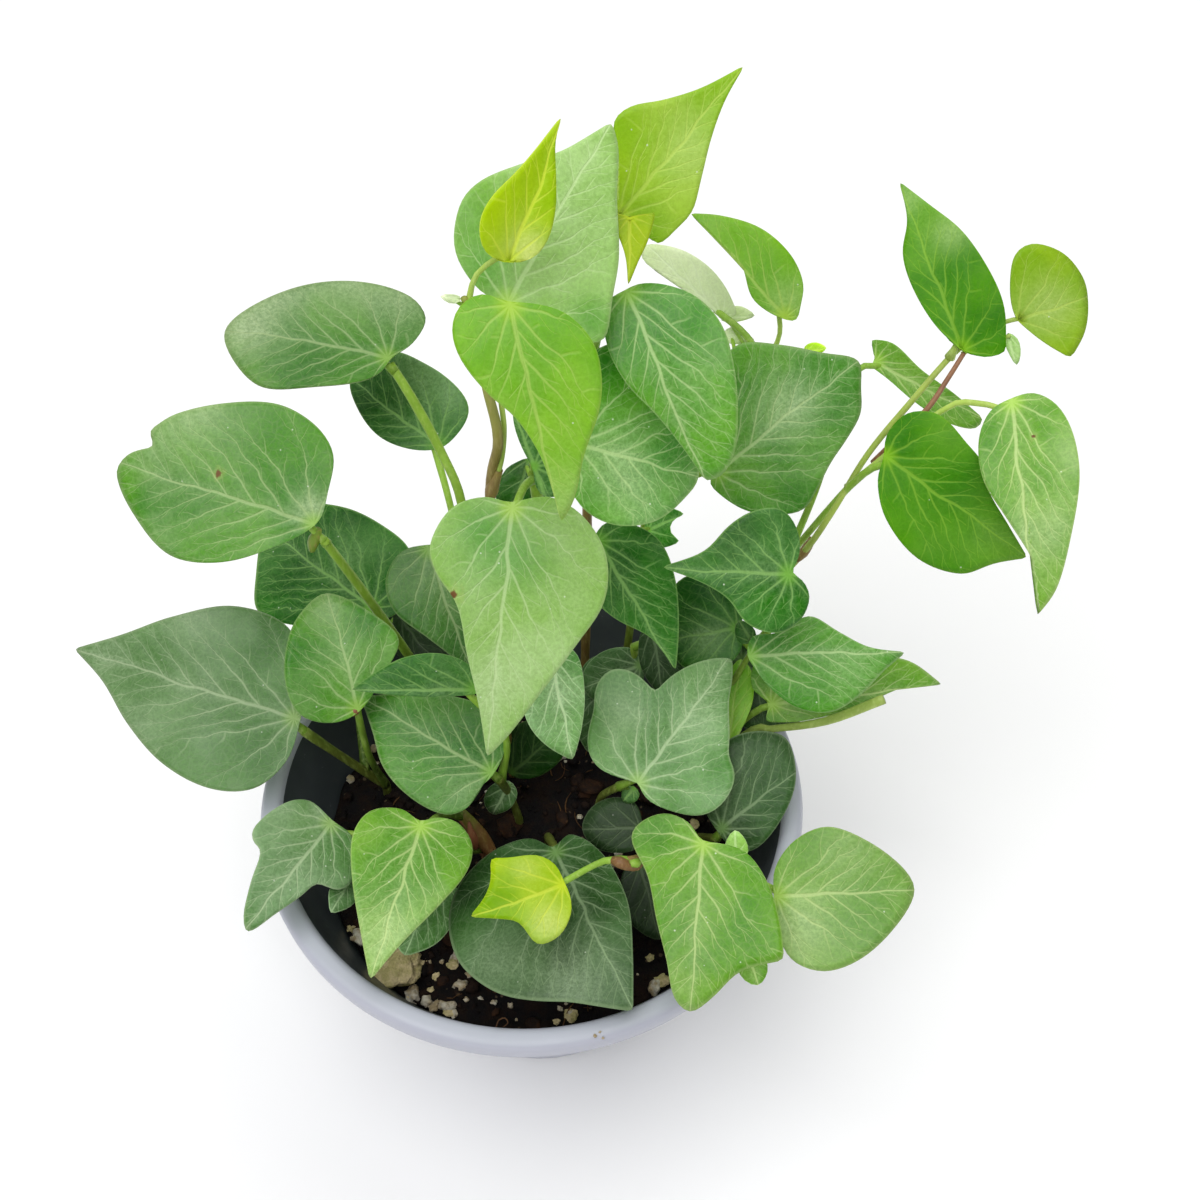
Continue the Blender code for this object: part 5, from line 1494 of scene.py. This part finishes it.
def soil_cover(materials):
    """What lies on the soil: crumbs, bark, pale perlite, a few tan pebbles and root fibres."""
    draw = random.Random(SEED)
    edge = body_radius(SOIL_TOP) - WALL - 2.5

    def anywhere(count, low, high, rise):
        """Random places on the soil, with few large sizes."""
        spots = []
        for _ in range(count):
            turn, spread = draw.uniform(0, 2 * math.pi), edge * math.sqrt(draw.random())
            x, y = spread * math.cos(turn), spread * math.sin(turn)
            size = low + (high - low) * draw.random() ** FEW_LARGE
            spots.append((x, y, soil_height(x, y) + size * rise, size))
        return spots

    def shown(rows, rise):
        """The places on the soil that these pixels show, kept inside the wall."""
        spots = []
        for u, v, size in rows:
            place = sight((u, v, SOIL_TOP + 1.0))
            place *= min(1.0, (edge + 1.2 - 0.6 * size) / math.hypot(place.x, place.y))
            spots.append((place.x, place.y, soil_height(place.x, place.y) + size * rise, size))
        return spots

    seen = {
        "perlite": shown(SHOWN_STONES, STONE_RISE),
        "pebbles": shown(SHOWN_PEBBLES, PEBBLE_RISE) + shown(SHOWN_TAN, STONE_RISE),
    }
    on_rim = {"perlite": [(*sight((u, v, RIM_HEIGHT))[:2], RIM_HEIGHT, size) for u, v, size in RIM_GRAINS]}
    for kind in STREWN:
        seeds = [kind.seed + kind.step * i for i in range(kind.lumps)]
        lumps = [lump(seed, kind, materials[kind.material]) for seed in seeds]
        spots = seen.get(kind.name, []) + anywhere(kind.count, kind.low, kind.high, kind.rise)
        scattered(kind.name, lumps, spots + on_rim.get(kind.name, []), draw)
    root_fibres(draw, anywhere(FIBRES, *FIBRE_LENGTH, 0.0), materials["fibre"])


def root_fibres(draw, spots, material):
    """Thin brown fibres lying on the soil, and one root hair on the rim."""
    pieces = []
    for x, y, _, size in spots:
        turn, bend = draw.uniform(0, 2 * math.pi), draw.uniform(-0.5, 0.5)
        points = []
        for _ in range(4):
            points.append(Vector((x, y, soil_height(x, y) + 0.25 + draw.uniform(0.0, 0.5))))
            x, y, turn = x + size / 3 * math.cos(turn), y + size / 3 * math.sin(turn), turn + bend
            spread = math.hypot(x, y) / (body_radius(SOIL_TOP) - WALL - 1.0)
            x, y = x / max(1.0, spread), y / max(1.0, spread)
        thick = draw.uniform(0.1, 0.2)
        pieces.append(stalk("fibre", smooth_path(points, 1.0), [thick * 0.6, thick, thick * 0.5], material))
    hair = [sight(place) for place in ROOT_HAIR]
    pieces.append(stalk("root_hair", smooth_path(hair, 0.6), [0.12, 0.14, 0.12, 0.06], material))
    whole = joined("root_fibres", pieces)
    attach(whole, "root")


def make_materials():
    """Every material, by its name."""
    groups = {"veins": vein_group(), "mottle": mottle_group(), "blemish": blemish_group()}
    made = {}
    for name, finish in FINISHES.items():
        for face, body in (("_leaf", finish.body), ("_underside", finish.under)):
            made[name + face] = leaf_material(name + face, finish, body, groups)
    kinds = [(stalk_material, STALK_SKINS), (pot_material, POT_SKINS)]
    kinds += [(soil_material, SOIL_MIXES), (stone_material, STONES)]
    for make, looks in kinds:
        for name, look in looks.items():
            made[name] = make(name, *look)
    return made


def studio():
    """A pale floor and soft light from above, all round, stronger from the upper left."""
    bpy.ops.mesh.primitive_plane_add(size=FLOOR_SIZE, location=(0, 0, 0))
    floor = bpy.context.object
    floor.name = "studio_floor"
    floor.data.materials.append(floor_material())
    world = bpy.data.worlds.new("studio")
    world.use_nodes = True
    sky = world.node_tree.nodes["Background"]
    sky.inputs["Color"].default_value = (1.0, 1.0, 1.0, 1.0)
    sky.inputs["Strength"].default_value = SKY_STRENGTH
    bpy.context.scene.world = world
    for name, place, size, power in LIGHTS:
        data = bpy.data.lights.new(name, "AREA")
        data.shape = "DISK"
        data.size = size
        data.energy = power
        lamp = bpy.data.objects.new(name, data)
        lamp.location = place
        lamp.rotation_euler = (LIGHT_AIM - Vector(place)).to_track_quat("-Z", "Y").to_euler()
        bpy.context.scene.collection.objects.link(lamp)


def camera():
    """The camera that the photograph was taken with."""
    data = bpy.data.cameras.new("camera")
    data.sensor_width = SENSOR
    data.lens = FOCAL_PX / PICTURE_PX * SENSOR
    data.clip_start = 0.01
    view = bpy.data.objects.new("camera", data)
    view.location = CAMERA * MM
    view.rotation_euler = (math.pi / 2 - PITCH, 0.0, 0.0)
    bpy.context.scene.collection.objects.link(view)
    bpy.context.scene.camera = view


def main():
    """The dressed plant, its studio and its camera."""
    materials = make_materials()
    draw = random.Random(SEED)
    pot(materials)
    soil_bed(materials)
    soil_cover(materials)
    for name, stem in STEMS.items():
        leafy_stem(name, stem, draw, materials)
    studio()
    camera()
    bpy.context.scene.view_settings.view_transform = "Standard"


main()
